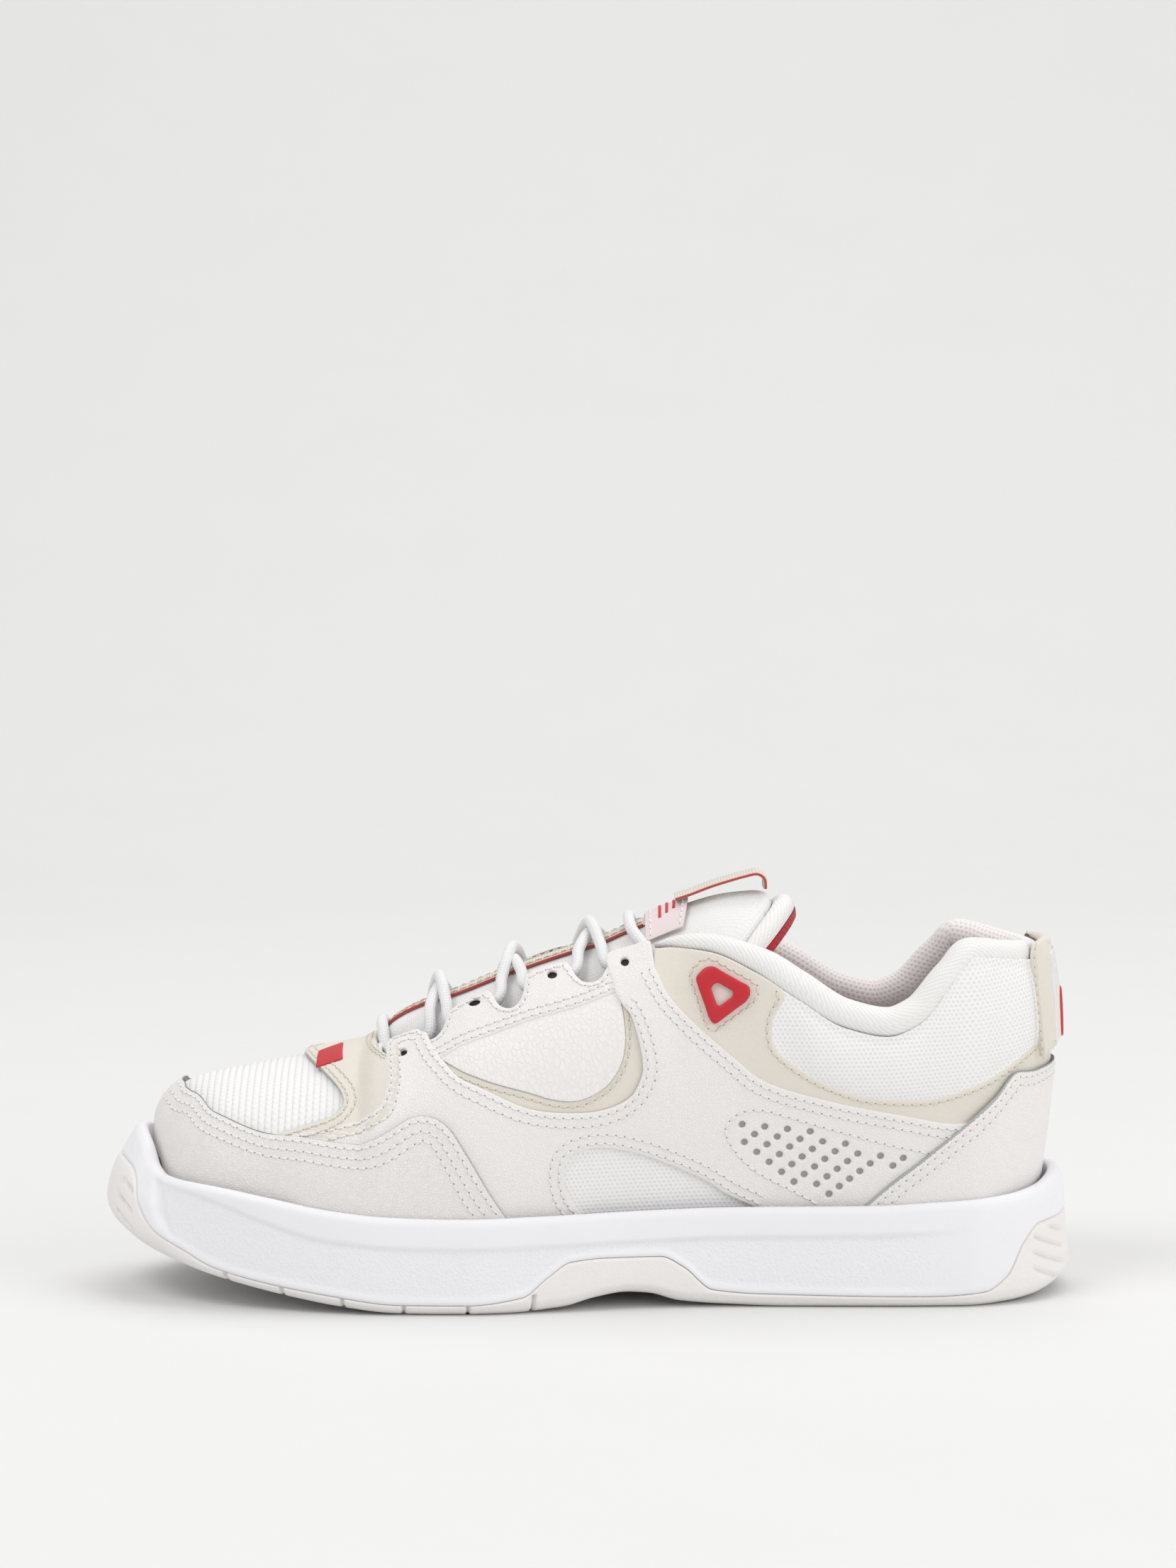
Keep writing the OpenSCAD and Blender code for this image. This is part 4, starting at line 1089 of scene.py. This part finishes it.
def eyestay(side):
    """Band with the two middle lace tabs, its ends under the quarter."""
    name = side_name(side)
    top_line = [(-49.5, 0.90), (-46.9, 0.875), (-44.6, 0.885), (-43.0, 0.92), (-42.3, 0.97),
                (-41.0, 0.995), (-35, 1.0), (-30, 0.997), (-28.6, 0.97), (-27.6, 0.92), (-26.2, 0.885),
                (-23.6, 0.865), (-21.2, 0.885), (-19.8, 0.92), (-18.9, 0.97), (-17.8, 0.995), (-12, 1.0),
                (-6.6, 0.997), (-5.2, 0.97), (-4.2, 0.93), (-2.4, 0.895), (0.6, 0.885), (3.2, 0.9),
                (5.6, 0.94), (9, 0.95)]
    crest = shares(side, top_line, 0.6)
    seam = drawn(side, [(-49.5, 73.5)] + SEAM)
    outline = join(crest, on_side(side, [(11, 98)]), seam[::-1])
    tab_holes = on_side(side, [(-34.6, 91.1), (-10.9, 99.9)])
    clad(f"eyestay_{name}", "white_leather", outline, EYESTAY_OFF, 1.15, [white_leather],
         holes=[ring(c, 1.5) for c in tab_holes], step=1.6)
    wells(f"eyelets_{name}_middle", tab_holes, 1.75, 1.7, EYESTAY_OFF, eyelet_shade)
    rows = [offset_row(crest, 1.5, side), offset_row(seam, -1.2, side), offset_row(seam, -3.4, side)]
    seams(f"eyestay_{name}_stitches", rows, off=EYESTAY_OFF)


def side_panel(side):
    """Tumbled leather in the middle, over a beige band whose edge it leaves in sight."""
    name = side_name(side)
    low = drawn(side, PANEL_LOW)
    high = drawn(side, [(-48, 79.5), (-30.9, 85.5), (-17.1, 90.5), (-5, 94), (12, 99)])
    outline = join(low, high[::-1])
    clad(f"side_panel_{name}", "tumbled_leather", outline, 0.35, 1.0, [tumbled, raw_grey], raw=[low],
         step=2.0, lift=lambda p, gap: 0.35 * smooth(0, 9, gap))
    hidden = [(-47, 79)] + [(x, z - 3.2) for x, z in WAIST[1:5]]
    hidden += [(-7.8, 57), (1.1, 57), (9, 58.5), (16.5, 63.6), (19.6, 71), (19.8, 76), (18.5, 83),
               (16, 92), (12, 97)]
    covered = [(x, z + 5) for x, z in PANEL_LOW[2:6]] + [(2, 72), (5, 78), (6, 85), (5, 93)]
    band = join(drawn(side, hidden), drawn(side, covered)[::-1])
    clad(f"underlay_{name}", "beige_suede", band, UNDERLAY_OFF, 1.0, [suede], step=2.0)
    seams(f"underlay_{name}_stitches", [offset_row(low, 1.6, side)], beige_thread, off=UNDERLAY_OFF)


def window_mesh(side):
    name = side_name(side)
    lo, hi = sorted((side * float(plan_t(-14)), side * float(plan_t(60))))
    base_sheet(f"window_mesh_{name}", "white_mesh", air_mesh, (lo, hi), level(-0.03), lambda u: v_at(u, 54),
               BASE, 1.2, (70, 30), puff=lambda u, v: 0.25)


def roll_radius(u):
    return curve([[20, 2.4], [36, 3.2], [60, 5], [110, 5], [147, 4.4]], curve(TOP_X, station_x(u)))


def roll_low(u):
    x = curve(TOP_X, station_x(u))
    return curve(TOP_Z, x) - curve([[20, 5], [40, 8], [60, 11], [104, 11], [118, 8], [130, 8], [147, 8]], x)


def collar_panel(side):
    """Beige band between the quarter and the ankle mesh, rising to the collar in front."""
    name = side_name(side)
    back = side * np.array([plan_t(144.3), 1.0])
    ankle = catmull(np.concatenate([on_side(side, ANKLE), surface_chart(back, v_at(back, [79.4, 77]))]), 0.8)
    hidden = [(19, 98), (24, 90), (32.4, 82), (43.7, 72), (55, 63.5), (75.9, 57.6), (92.6, 54.3),
              (118, 52), (134, 62)]
    lo = catmull(np.concatenate([on_side(side, hidden), surface_chart(back, v_at(back, [67, 67]))]), 0.8)
    u = side * np.linspace(plan_t(20), plan_t(57.5), 30)
    crest = surface_chart(u, v_at(u, roll_low(u) + 2.5))
    outline = join(crest, ankle, lo[::-1])
    clad(f"collar_panel_{name}", "beige_suede", outline, BAND_OFF, 1.2, [suede], step=2.0)
    seams(f"collar_panel_{name}_stitches", [offset_row(ankle, 1.5, side)], beige_thread, off=BAND_OFF)


def ankle_mesh(side):
    name = side_name(side)
    lo, hi = sorted((side * float(plan_t(50)), side * float(plan_t(142.5))))
    low_line = [[50, 72], [57, 72], [63, 70], [70, 66], [81, 61.5], [90, 60], [105, 60], [121, 64],
                [133, 70], [143, 74]]

    def puff(u, v):
        a = v_at(u[:, 0], curve(ANKLE_EDGE, station_x(u[:, 0])))[:, None]
        b = v_at(u[:, 0], roll_low(u[:, 0]))[:, None]
        f = np.clip((v - a) / np.maximum(b - a, 0.02), 0, 1)
        return 0.2 + 1.5 * np.sin(np.pi * f) ** 0.7 * smooth(56, 70, station_x(u))

    base_sheet(f"ankle_mesh_{name}", "white_mesh", air_mesh, (lo, hi),
               lambda u: v_at(u, curve(low_line, station_x(u))), lambda u: v_at(u, roll_low(u) + 2.5),
               BASE, 1.2, (110, 44), puff=puff)


ANKLE_EDGE = [[50, 80], [57, 80], [62.6, 74.1], [70, 69.5], [81, 65], [90, 63.7], [105, 63.7],
              [121, 68.3], [132, 74], [143, 78]]


def collar_roll():
    """Padded roll round the collar, joined into the lining behind it."""
    t0 = float(plan_t(20.5))
    u = np.linspace(t0, 2 - t0, 240)
    r = roll_radius(u)
    rise = np.array([0, 0, 1.0])
    centre = top(u) - out(u) * r[:, None] - rise * r[:, None]
    path = unit(np.gradient(centre, axis=0))
    side_way = unit(out(u) - path * np.einsum("ij,ij->i", out(u), path)[:, None])
    up = np.cross(path, side_way)
    up *= np.sign(up[:, 2:])
    a = np.linspace(0, 2 * np.pi, 33)
    ends = np.ones(240)
    ends[:8] = ends[-8:][::-1] = np.sin(np.linspace(0.25, np.pi / 2, 8))
    fat = (r * ends)[:, None, None]
    girth = side_way[:, None] * np.cos(a)[:, None] + up[:, None] * np.sin(a)[:, None]
    rings = centre[:, None] + girth * fat
    uv = np.stack(np.broadcast_arrays(run_length(centre)[:, None], a[None, :] * r[:, None]), axis=-1)
    inner_half = np.cos(a[:-1] + np.pi / 32) < -0.1
    kinds = np.concatenate([np.tile(inner_half, 239), np.zeros(64, bool)])
    roll = swept("collar_roll", rings, centre, uv, [collar_cloth, lining_cloth], face_mats=kinds)
    stands_for(roll, "collar_knit", "collar_roll")


def heel_sink(p):
    """The heel overlay comes down to the collar band behind the quarters."""
    return -1.25 * smooth(run_at(116), run_at(132), np.abs(p[:, 0]))


def heel_overlay():
    lateral = on_level(LATERAL, HEEL_EDGE, 83.4, 146.9, 120)
    medial = on_level(MEDIAL, HEEL_EDGE, 146.9, 83.4, 120) - [LENGTH_ROUND, 0]
    upper_edge = resample(np.concatenate([lateral, medial]), 0.8)
    low = level_line(upper_edge[-1, 0] - 1, upper_edge[0, 0] + 1, -1.5, 160)
    clad("heel_overlay", "white_leather", join(upper_edge, low), LAYER_2, 1.35, [white_leather, raw_grey],
         step=2.0, raw=[upper_edge], raw_wide=0.45, lift=lambda p, gap: heel_sink(p))
    rows = [inset(upper_edge, d, closed=False) for d in (1.9, 4.5)]
    rows = [row[row[:, 1] > 1.5] for row in rows]
    seams("heel_overlay_stitches", rows, off=lambda p: LAYER_2 + heel_sink(p))


def heel_band(knots, z, top_station):
    """Outline round the back of the heel, between mirrored edges given as (z, station x)."""
    x_edge = curve(knots, z)
    edges = []
    for side in (LATERAL, MEDIAL):
        u = side * plan_t(x_edge)
        edges.append(surface_chart(u, v_at(u, z)) - [0 if side < 0 else LENGTH_ROUND, 0])
    crest_v = float(v_at(np.array([-1.0]), z[-1])[0])
    ends = plan_t(top_station)
    crown = np.minimum(crest_v + 0.01 * np.sin(np.linspace(0, np.pi, 24)), 1)
    crest = surface_chart(np.linspace(-ends, -2 + ends, 24), crown)
    return edges, join(edges[0], crest, edges[1][::-1])


def heel_tab():
    """Suede-edged tab over the back of the collar, with a woven middle and a plain red badge."""
    border = [[71, 142.6], [80, 141.8], [95, 141.2], [104, 141.6], [108, 142.8]]
    edges, outline = heel_band(border, np.linspace(74, 108, 24), 143.2)
    clad("heel_tab", "beige_suede", outline, LAYER_2 - 0.5, 2.4, [suede], step=1.5,
         lift=lambda p, gap: 0.9 * smooth(0, 5, gap))
    u = np.linspace(-plan_t(143.6), -2 + plan_t(143.6), 40)
    fold = skin(u, np.full(40, 0.992), np.full(40, LAYER_2 - 1.7)) + [0, 0, 0.1]
    swell = 1.7 * np.sin(np.linspace(0.2, np.pi - 0.2, 40)) ** 0.5
    tube("heel_tab_fold", fold, swell, [suede])
    _, middle = heel_band([[74, 145], [90, 144.7], [105, 145.2]], np.linspace(77.5, 104.6, 20), 145.4)
    cloth = panel("heel_tab_middle", middle, side_chart, LAYER_2 + 0.6, 0.5, [tab_cloth], step=1.5)
    a = np.linspace(0, 2 * np.pi, 40, endpoint=False)
    lozenge = np.stack([np.sign(np.cos(a)) * np.abs(np.cos(a)) ** 0.6 * 6.2,
                        np.sign(np.sin(a)) * np.abs(np.sin(a)) ** 0.6 * 7.6], axis=1)
    centre = surface_chart(np.array([-1.0]), v_at(np.array([-1.0]), 85.6))
    clad("heel_badge", "red_print", lozenge + centre, LAYER_2 + 1.2, 0.8, [red_print], step=1.2)
    rows = [inset(line, 1.5 * k, closed=False) for line, k in zip(edges, (-1, 1))]
    seams("heel_tab_stitches", rows, beige_thread, off=LAYER_2 - 0.35)


def lace_keeper(side):
    """Moulded rounded triangle with an open middle, stitched round."""
    name = side_name(side)

    def triangle(size):
        a = 2 * np.pi * np.arange(72) / 72
        corners = np.radians([63, 200, 305])
        r = np.minimum(1 / np.maximum.reduce([np.cos(a - k) * 1.25 for k in corners]), 1.18)
        pts = np.stack([40.5 + size * r * np.cos(a) * 0.94, 95.6 + size * r * np.sin(a)], axis=1)
        return catmull(on_side(side, [tuple(p) for p in pts[::3]]), 0.6, closed=True)[:-1]

    outer, inner = triangle(7.8), triangle(3.2)
    clad(f"lace_keeper_{name}", "red_moulding", outer, 1.9, 1.8, [red_gloss], holes=[inner], step=1.0,
         lift=lambda p, gap: 0.25 * smooth(0, 1.6, gap))
    around_it = triangle(10)
    seams(f"lace_keeper_{name}_stitches", [join(around_it, around_it[:1])], beige_thread, off=BAND_OFF)


def lining():
    """Spacer mesh inside the shoe, from the roll down to the bed."""
    split, back, heel, vamp = (float(plan_t(x)) for x in (-70, 97, 96.5, -70.5))
    for name, lo, hi, low, high, grid in (("lining_lateral", -back, -split, -0.24, lining_top, (120, 50)),
                                          ("lining_medial", split, back, -0.24, lining_top, (120, 50)),
                                          ("lining_heel", heel, 2 - heel, -0.24, lining_top, (110, 50)),
                                          ("lining_vamp", -vamp, vamp, -0.2, level(1), (120, 40))):
        base_sheet(name, "lining_mesh", lining_cloth, (lo, hi), level(low), high, LINING_OFF, LINING_WALL,
                   grid)


def lining_top(u):
    x = station_x(u)
    seam = curve([[-62, 70], [-45.6, 73.8], [-31, 82.1], [-17, 87.2], [-5, 91], [8, 96], [22, 101]], x)
    z = np.where(x < 18, seam - 1, roll_low(u) - 1)
    z = np.where(around(u) > 0, np.minimum(z, 64 + 60 * smooth(16, 22, np.abs(x - 10))), z)
    return v_at(u, z)


def upper_pieces():
    toe_mesh()
    vamp_saddle()
    vamp_mark()
    toe_overlay()
    for side in (LATERAL, MEDIAL):
        quarter(side)
        eyestay(side)
        side_panel(side)
        window_mesh(side)
        collar_panel(side)
        ankle_mesh(side)
        lace_keeper(side)
    collar_roll()
    heel_overlay()
    heel_tab()
    lining()


upper_pieces()


# ---------------------------------------------------------------- sole
def wall_at(u, z, inward):
    """A point of the sole's wall at height z, moved inwards."""
    x = station_x(u)
    g = curve(GROUND, x)
    f = np.clip((z - g) / (curve(RIM, x) - g), 0, 1)
    p = edge(u) + out(u) * (wall_off(x, f) - inward)[..., None]
    return np.stack([p[..., 0], p[..., 1], np.broadcast_to(z, p[..., 0].shape)], axis=-1)


def rising_shares(even, n_even, n_close):
    """Shares of a wall's height, evenly spaced at first and then closer towards the top."""
    close = np.sin(np.linspace(0, np.pi / 2, n_close))[1:]
    return np.concatenate([np.linspace(0, even, n_even), even + (1 - even) * close])


def closed_band(columns):
    """Faces between columns of points that run once round the shoe."""
    n, m = columns.shape[:2]
    last = (n - 1) * m
    return grid_faces(n, m).tolist() + [[last + j, last + j + 1, j + 1, j] for j in range(m - 1)]


def midsole():
    """Foam cup: rounded rim, shallow sunken panel along each side, floor inside."""
    n = 1600
    u = np.linspace(-1, 1, n, endpoint=False)
    x = station_x(u)
    wrap, rim = curve(WRAP, x) + 0.2, curve(RIM, x)
    share = rising_shares(0.86, 34, 10)
    z = wrap[:, None] + (rim - wrap)[:, None] * share[None, :]
    near_top, near_low = rim[:, None] - z, z - wrap[:, None]
    xx = np.broadcast_to(x[:, None], z.shape)
    fold = -135 + 0.38 * near_top
    band = mix(2.0, 9.0, smooth(-134, -80, xx))
    along = smooth(0, 1.6, xx - fold) * (1 - smooth(92, 122, xx))
    sunk = 0.95 * along * smooth(0, 1.8, near_top - band + 0.9) * smooth(0.4, 3, near_low)
    crease = 1.3 * np.exp(-(((xx - fold) / 1.5) ** 2)) * smooth(0.5, 3, near_top) * smooth(1, 6, near_low)
    rounding = 1.5 * rounded(near_top, 1.8)
    tuck = 0.4 * (1 - smooth(0, 1.2, near_low))
    inward = sunk + crease + rounding + tuck
    uu = np.broadcast_to(u[:, None], z.shape)
    outer = wall_at(uu, z, inward)
    below = [wall_at(u, wrap, np.full(n, 2.6)), wall_at(u, curve(GROUND, x) + 3.2, np.full(n, 3.0))]
    lip = [rim_point(u, rim - d, np.full(n, k)) for d, k in ((0.05, 2.3), (0.3, 3.1), (1.2, 3.55))]
    floor_z = curve(CUP, x)
    lip += [rim_point(u, floor_z, np.full(n, 3.6))]
    columns = np.concatenate([np.stack(below[::-1], axis=1), outer, np.stack(lip, axis=1)], axis=1)
    m = columns.shape[1]
    faces = closed_band(columns)
    pairs = [(i, (n - i) % n) for i in range(n // 2 + 1)]
    for j in (0, m - 1):
        for (a, b), (c, d) in zip(pairs, pairs[1:]):
            quad = list(dict.fromkeys([a * m + j, b * m + j, d * m + j, c * m + j]))
            if len(quad) > 2:
                faces.append(quad if j else quad[::-1])
    texture = np.zeros(columns.shape[:2])
    texture[:, 2:2 + len(share)] = np.clip(sunk / 0.95, 0, 1)
    obj = make("midsole", columns.reshape(-1, 3), faces, [foam], masks={"texture": texture.ravel()})
    stands_for(obj, "midsole_foam", "midsole")


SIPES = [-110.6, -93.1, -74.5, -55.7, -36.3, -16.5]


def outsole():
    """Rubber tray: side band with bumper grooves and sipes, and a treaded underside."""
    n = 2240
    u = np.linspace(-1, 1, n, endpoint=False)
    x = station_x(u)
    ground, wrap = curve(GROUND, x), curve(WRAP, x)
    share = rising_shares(0.9, 30, 6)
    z = ground[:, None] + (wrap - ground)[:, None] * share
    near_top, near_low = wrap[:, None] - z, z - ground[:, None]
    rounding, low_round = 0.9 * rounded(near_top, 0.9), 0.8 * rounded(near_low, 1.0)
    xx = np.broadcast_to(x[:, None], z.shape)
    sipes = sum(np.exp(-((xx - s - 0.05 * near_low) / 0.55) ** 2) for s in SIPES)
    sipes = sipes * (1 - smooth(5.4, 6, near_low))
    heel_rows = np.exp(-(((z - 9.5 - 0.62 * (141 - xx)) % 5.0 - 2.5) / 0.5) ** 2)
    heel_span = smooth(134, 137.5, xx) * (1 - smooth(143.5, 145.5, xx))
    heel = heel_rows * heel_span * smooth(1.5, 3, near_top) * (z > 6) * (z < 25)
    toe_rows = np.exp(-(((z - 27 + 0.95 * (xx + 141)) % 4.6 - 2.3) / 0.48) ** 2)
    toe_span = smooth(-144.6, -142.5, xx) * (1 - smooth(-139.8, -137.4, xx))
    toe = toe_rows * toe_span * smooth(1.2, 2.6, near_top) * (z > 22) * (z < 36)
    inward = rounding + low_round + 2.2 * np.clip(sipes, 0, 1) + 1.2 * heel + 1.1 * toe
    uu = np.broadcast_to(u[:, None], z.shape)
    outer = wall_at(uu, z, inward)
    inner = [wall_at(u, wrap - 0.1, np.full(n, 1.9)), wall_at(u, ground + 3.0, np.full(n, 2.8))]
    columns = np.concatenate([outer, np.stack(inner, axis=1)], axis=1)
    texture = np.full(columns.shape[0] * columns.shape[1], 0.5)
    verts = columns.reshape(-1, 3)
    band = make("outsole_band", verts, closed_band(columns), [gum], masks={"texture": texture})
    stands_for(band, "outsole_rubber", "outsole")
    tread(u[::4])


def tread(u):
    """Herringbone underside between the edges of the band."""
    half_n = len(u) // 2
    lateral = wall_at(u, curve(GROUND, station_x(u)), np.full(len(u), 0.8))
    left = lateral[:half_n + 1][::-1]
    right = np.concatenate([lateral[half_n:], lateral[:1]])
    k = np.linspace(0, 1, 96)
    p = left[:, None] + (right - left)[:, None] * k[None, :, None]
    zig = np.abs((p[..., 1] / 13) % 1 - 0.5) * 2
    groove = smooth(0.2, 0.8, np.abs(((p[..., 0] + zig * 6) / 5.2) % 1 - 0.5) * 2 - 0.15)
    edge_gap = np.minimum(k, 1 - k)[None, :] * np.linalg.norm(right - left, axis=1)[:, None]
    flex = 1 - smooth(0.8, 2.2, np.min([np.abs(p[..., 0] - s) for s in SIPES], axis=0))
    depth = np.maximum(1.5 * (1 - groove), 1.5 * flex) * smooth(2.5, 4, edge_gap)
    p[..., 2] += depth
    faces = grid_faces(len(p), 96)
    texture = np.full(p[..., 0].size, 0.3)
    obj = make("outsole_tread", p.reshape(-1, 3), faces.tolist(), [gum], masks={"texture": texture})
    stands_for(obj, "outsole_rubber", "outsole")


def footbed():
    """Sockliner with a dished top, and the board under it."""
    u = np.linspace(-1, 0, 200)
    layers = (("sockliner", "lining_mesh", lining_cloth, 12.2, 1.8, 6.0, 40),
              ("insole_board", "board", board_fibre, 4.2, 0.2, 1.6, 6))
    for name, slot, mat, inset_by, z0, z1, cols in layers:
        left = rim_point(u, curve(CUP, station_x(u)), np.full(200, inset_by))
        right = rim_point(-u, curve(CUP, station_x(u)), np.full(200, inset_by))
        k = np.linspace(0, 1, cols)
        p = left[:, None] + (right - left)[:, None] * k[None, :, None]
        dish = (1 - np.abs(2 * k - 1) ** 3)[None, :] * (0.8 if name == "sockliner" else 0)
        upper_side, under = p.copy(), p.copy()
        upper_side[..., 2] += z1 - dish
        under[..., 2] += z0
        sheet(name, upper_side, under, p[..., :2], mat, slot, rim_turned=True)


board_fibre = plain("board_fibre", (0.62, 0.56, 0.45), 0.9)
midsole()
outsole()
footbed()


# ---------------------------------------------------------------- tongue
def tongue_shell(name, ends, shares_across, off, wall, mat, slot, grid=(90, 40), crown=None, part=None):
    """A layer of the tongue between two x ends and two shares of its half width, with rounded sides."""
    x = np.linspace(*ends, grid[0])
    w0, w1 = shares_across
    half = curve(TONGUE_W, x)
    k = np.linspace(0, 1, grid[1])
    y = half[:, None] * (w0 + (w1 - w0) * k)[None, :]
    xx = np.broadcast_to(x[:, None], y.shape)
    side_gap = np.minimum(k, 1 - k)[None, :] * (w1 - w0) * half[:, None]
    end_gap = np.minimum(x - ends[0], ends[1] - x)[:, None]
    cut = rounded(np.minimum(side_gap, end_gap * 1.5), min(wall, 4.0))
    lift = crown(y) if crown else 0
    upper_side = tongue_point(xx, y, off - cut * wall * 0.45 + lift)
    under = tongue_point(xx, y, off - wall + cut * wall * 0.45)
    uv = np.stack([xx, y], axis=-1)
    return sheet(name, upper_side, under, uv, mat, slot, "tongue", rim_turned=True, part=part)


def tongue_crown(y):
    """The padding's crown, with a sewn channel along each side of the webbing."""
    return 0.5 * (1 - (np.abs(y) / 22) ** 2) - 0.35 * np.exp(-((np.abs(y) - 9) / 1.2) ** 2)


def tongue():
    pad = tongue_shell("tongue", (-65, 57), (-1, 1), 0, 6, tongue_mesh, "white_mesh", (130, 60),
                       tongue_crown)
    tongue_shell("tongue_lining", (-60, 57), (-0.96, 0.96), -6.3, 0.9, red_cloth, "red_lining")
    tongue_shell("tongue_webbing", (-64, 30), (-0.3, 0.3), 1.4, 0.9, tape, "webbing", (130, 16))
    tongue_shell("tongue_label", (17.6, 31), (-0.72, 0.72), 2.65, 0.7, label_cloth, "label_cloth", (30, 50))
    for k, x in enumerate((22.2, 24.4, 26.6)):
        across = 0.42 - 0.05 * k
        tongue_shell(f"tongue_label_stripe_{k}", (x - 0.45, x + 0.45), (-across, across), 2.95, 0.5,
                     red_print, "label_cloth", (6, 30), part="tongue_label")
    x = np.linspace(-64, 17, 160)
    for side in (-1, 1):
        y = side * curve(TONGUE_W, x) * 0.31
        line = catmull(tongue_point(x, y, 1.35), 1.0)
        tube(f"webbing_edge_{side_name(side)}", line, 0.45, [red_edge], "tongue", 8)
    rows = [tongue_point(x, side * curve(TONGUE_W, x) * 0.22, 1.62) for side in (-1, 1)]
    tongue_stitches("webbing_stitches", rows, beige_thread)
    y = np.linspace(-15, 15, 60)
    tongue_stitches("label_stitches", [tongue_point(x, y, 2.68) for x in (19.2, 29.4)], thread)


def tongue_stitches(name, rows, mat):
    """Stitch rows on the tongue's top, which faces up."""
    stitches(name, [(row, np.tile([0, 0, 1.0], (len(row), 1))) for row in rows], [mat, needle_shade], "tongue")


def tongue_binding():
    """Soft rolled edge across the top of the tongue."""
    w = float(curve(TONGUE_W, 57))
    y = np.linspace(-w, w, 70)
    line = tongue_point(np.full(70, 57.0), y, -3.4) + [3.6, 0, 0]
    a = np.linspace(0, 2 * np.pi, 25)
    swell = np.sqrt(np.clip(1 - np.abs(y / w) ** 8 * 0.7, 0, 1))
    lip = 1 + 0.42 * np.exp(-((a - np.radians(318)) / 0.55) ** 2)
    rings = line[:, None] + np.stack([3.4 * (lip * np.cos(a))[None, :] * swell[:, None], np.zeros((70, 25)),
                                      3.9 * (lip * np.sin(a))[None, :] * swell[:, None]], axis=-1)
    uv = np.stack(np.broadcast_arrays(y[:, None], a[None, :] * 3.6), axis=-1)
    turned = (np.sin(a[:-1] + np.pi / 24) < -0.1) & (np.cos(a[:-1] + np.pi / 24) > -0.5)
    kinds = np.concatenate([np.tile(turned, 69), np.zeros(48, bool)])
    obj = swept("tongue_binding", rings, line, uv, [collar_cloth, red_cloth], "tongue", kinds)
    stands_for(obj, "collar_knit", "tongue_binding")


def pull_loop():
    """Strap of woven tape sewn down at both ends, with red edges."""
    centre = catmull([[27, 121.3], [32, 123], [38, 125.3], [44, 127.2], [49, 128.6], [52.4, 129.2],
                      [54.6, 127.6], [54.9, 124.6]], 0.7)
    d = unit(np.gradient(centre, axis=0))
    normal = np.stack([-d[:, 1], d[:, 0]], axis=1)
    k = np.linspace(-7, 7, 22)
    thick = 0.7 * np.sqrt(np.clip(1 - np.abs(k / 7) ** 6 * 0.8, 0, 1))

    def face(sign):
        xz = centre[:, None] + normal[:, None] * (sign * thick)[None, :, None]
        return np.stack([xz[..., 0], np.broadcast_to(k, xz.shape[:2]), xz[..., 1]], axis=-1)

    uv = np.stack(np.broadcast_arrays(run_length(centre)[:, None], k[None, :]), axis=-1)
    sheet("pull_loop", face(1), face(-1), uv, tape, "webbing", "tongue", rim_turned=True)
    for side in (-1, 1):
        line = np.stack([centre[:, 0], np.full(len(centre), side * 7.0), centre[:, 1]], axis=1)
        tube(f"pull_loop_edge_{side_name(side)}", line, 0.4, [red_edge], "tongue", 8)


tongue()
tongue_binding()
pull_loop()


# ---------------------------------------------------------------- hidden stiffeners
def stiffener(name, u_range, top_z):
    base_sheet(name, "stiffener", stiff_sheet, u_range, level(0), lambda u: v_at(u, top_z(station_x(u))),
               -1.7, 1.0, (60, 14))


stiff_sheet = plain("stiffener_sheet", (0.72, 0.68, 0.6), 0.8)
counter_end, puff_end = float(plan_t(92)), float(plan_t(-112))
stiffener("heel_counter", (counter_end, 2 - counter_end), lambda x: mix(50, 82, smooth(92, 130, x)))
stiffener("toe_puff", (-puff_end, puff_end), lambda x: mix(45, 62, 1 - smooth(-140, -112, x)))


# ---------------------------------------------------------------- floor, backdrop and light
def stage():
    """Pale floor running up into a backdrop, seamless."""
    depth = [(-3, 0), (-1, 0), (1.0, 0)]
    curve_up = [(1.0 + 1.2 * math.sin(a), 1.2 - 1.2 * math.cos(a)) for a in np.linspace(0, math.pi / 2, 24)]
    profile = depth + curve_up[1:] + [(2.2, 4.0)]
    verts = [(x, y, z) for x in (-5, 5) for y, z in profile]
    n = len(profile)
    mesh = bpy.data.meshes.new("floor")
    mesh.from_pydata(verts, [], [(i, n + i, n + i + 1, i + 1) for i in range(n - 1)])
    mesh.polygons.foreach_set("use_smooth", [True] * len(mesh.polygons))
    floor = bpy.data.objects.new("floor", mesh)
    bpy.context.scene.collection.objects.link(floor)
    m, t, b = start("floor_paper", (0.79, 0.79, 0.787), 0.9)
    tint(t, b, noise(t, 60), 0.99, 1.01)
    mesh.materials.append(m)


def softbox(name, place, size, power):
    data = bpy.data.lights.new(name, "AREA")
    data.shape = "RECTANGLE"
    data.size, data.size_y = size
    data.energy = power
    lamp = bpy.data.objects.new(name, data)
    lamp.location = place
    lamp.rotation_euler = (Vector((0, 0, 0.06)) - Vector(place)).to_track_quat("-Z", "Y").to_euler()
    bpy.context.scene.collection.objects.link(lamp)


def light():
    softbox("key_light", (-1.1, -1.0, 2.0), (1.2, 1.0), 15)
    softbox("top_light", (0.4, 0.6, 2.2), (2.2, 1.6), 19)
    softbox("fill_light", (1.9, -1.2, 0.9), (1.6, 1.6), 15)
    world = bpy.data.worlds.new("studio")
    world.use_nodes = True
    world.node_tree.nodes["Background"].inputs["Color"].default_value = (1.0, 0.996, 0.99, 1)
    world.node_tree.nodes["Background"].inputs["Strength"].default_value = 0.6
    bpy.context.scene.world = world
    bpy.context.scene.view_settings.view_transform = "Standard"


stage()
light()
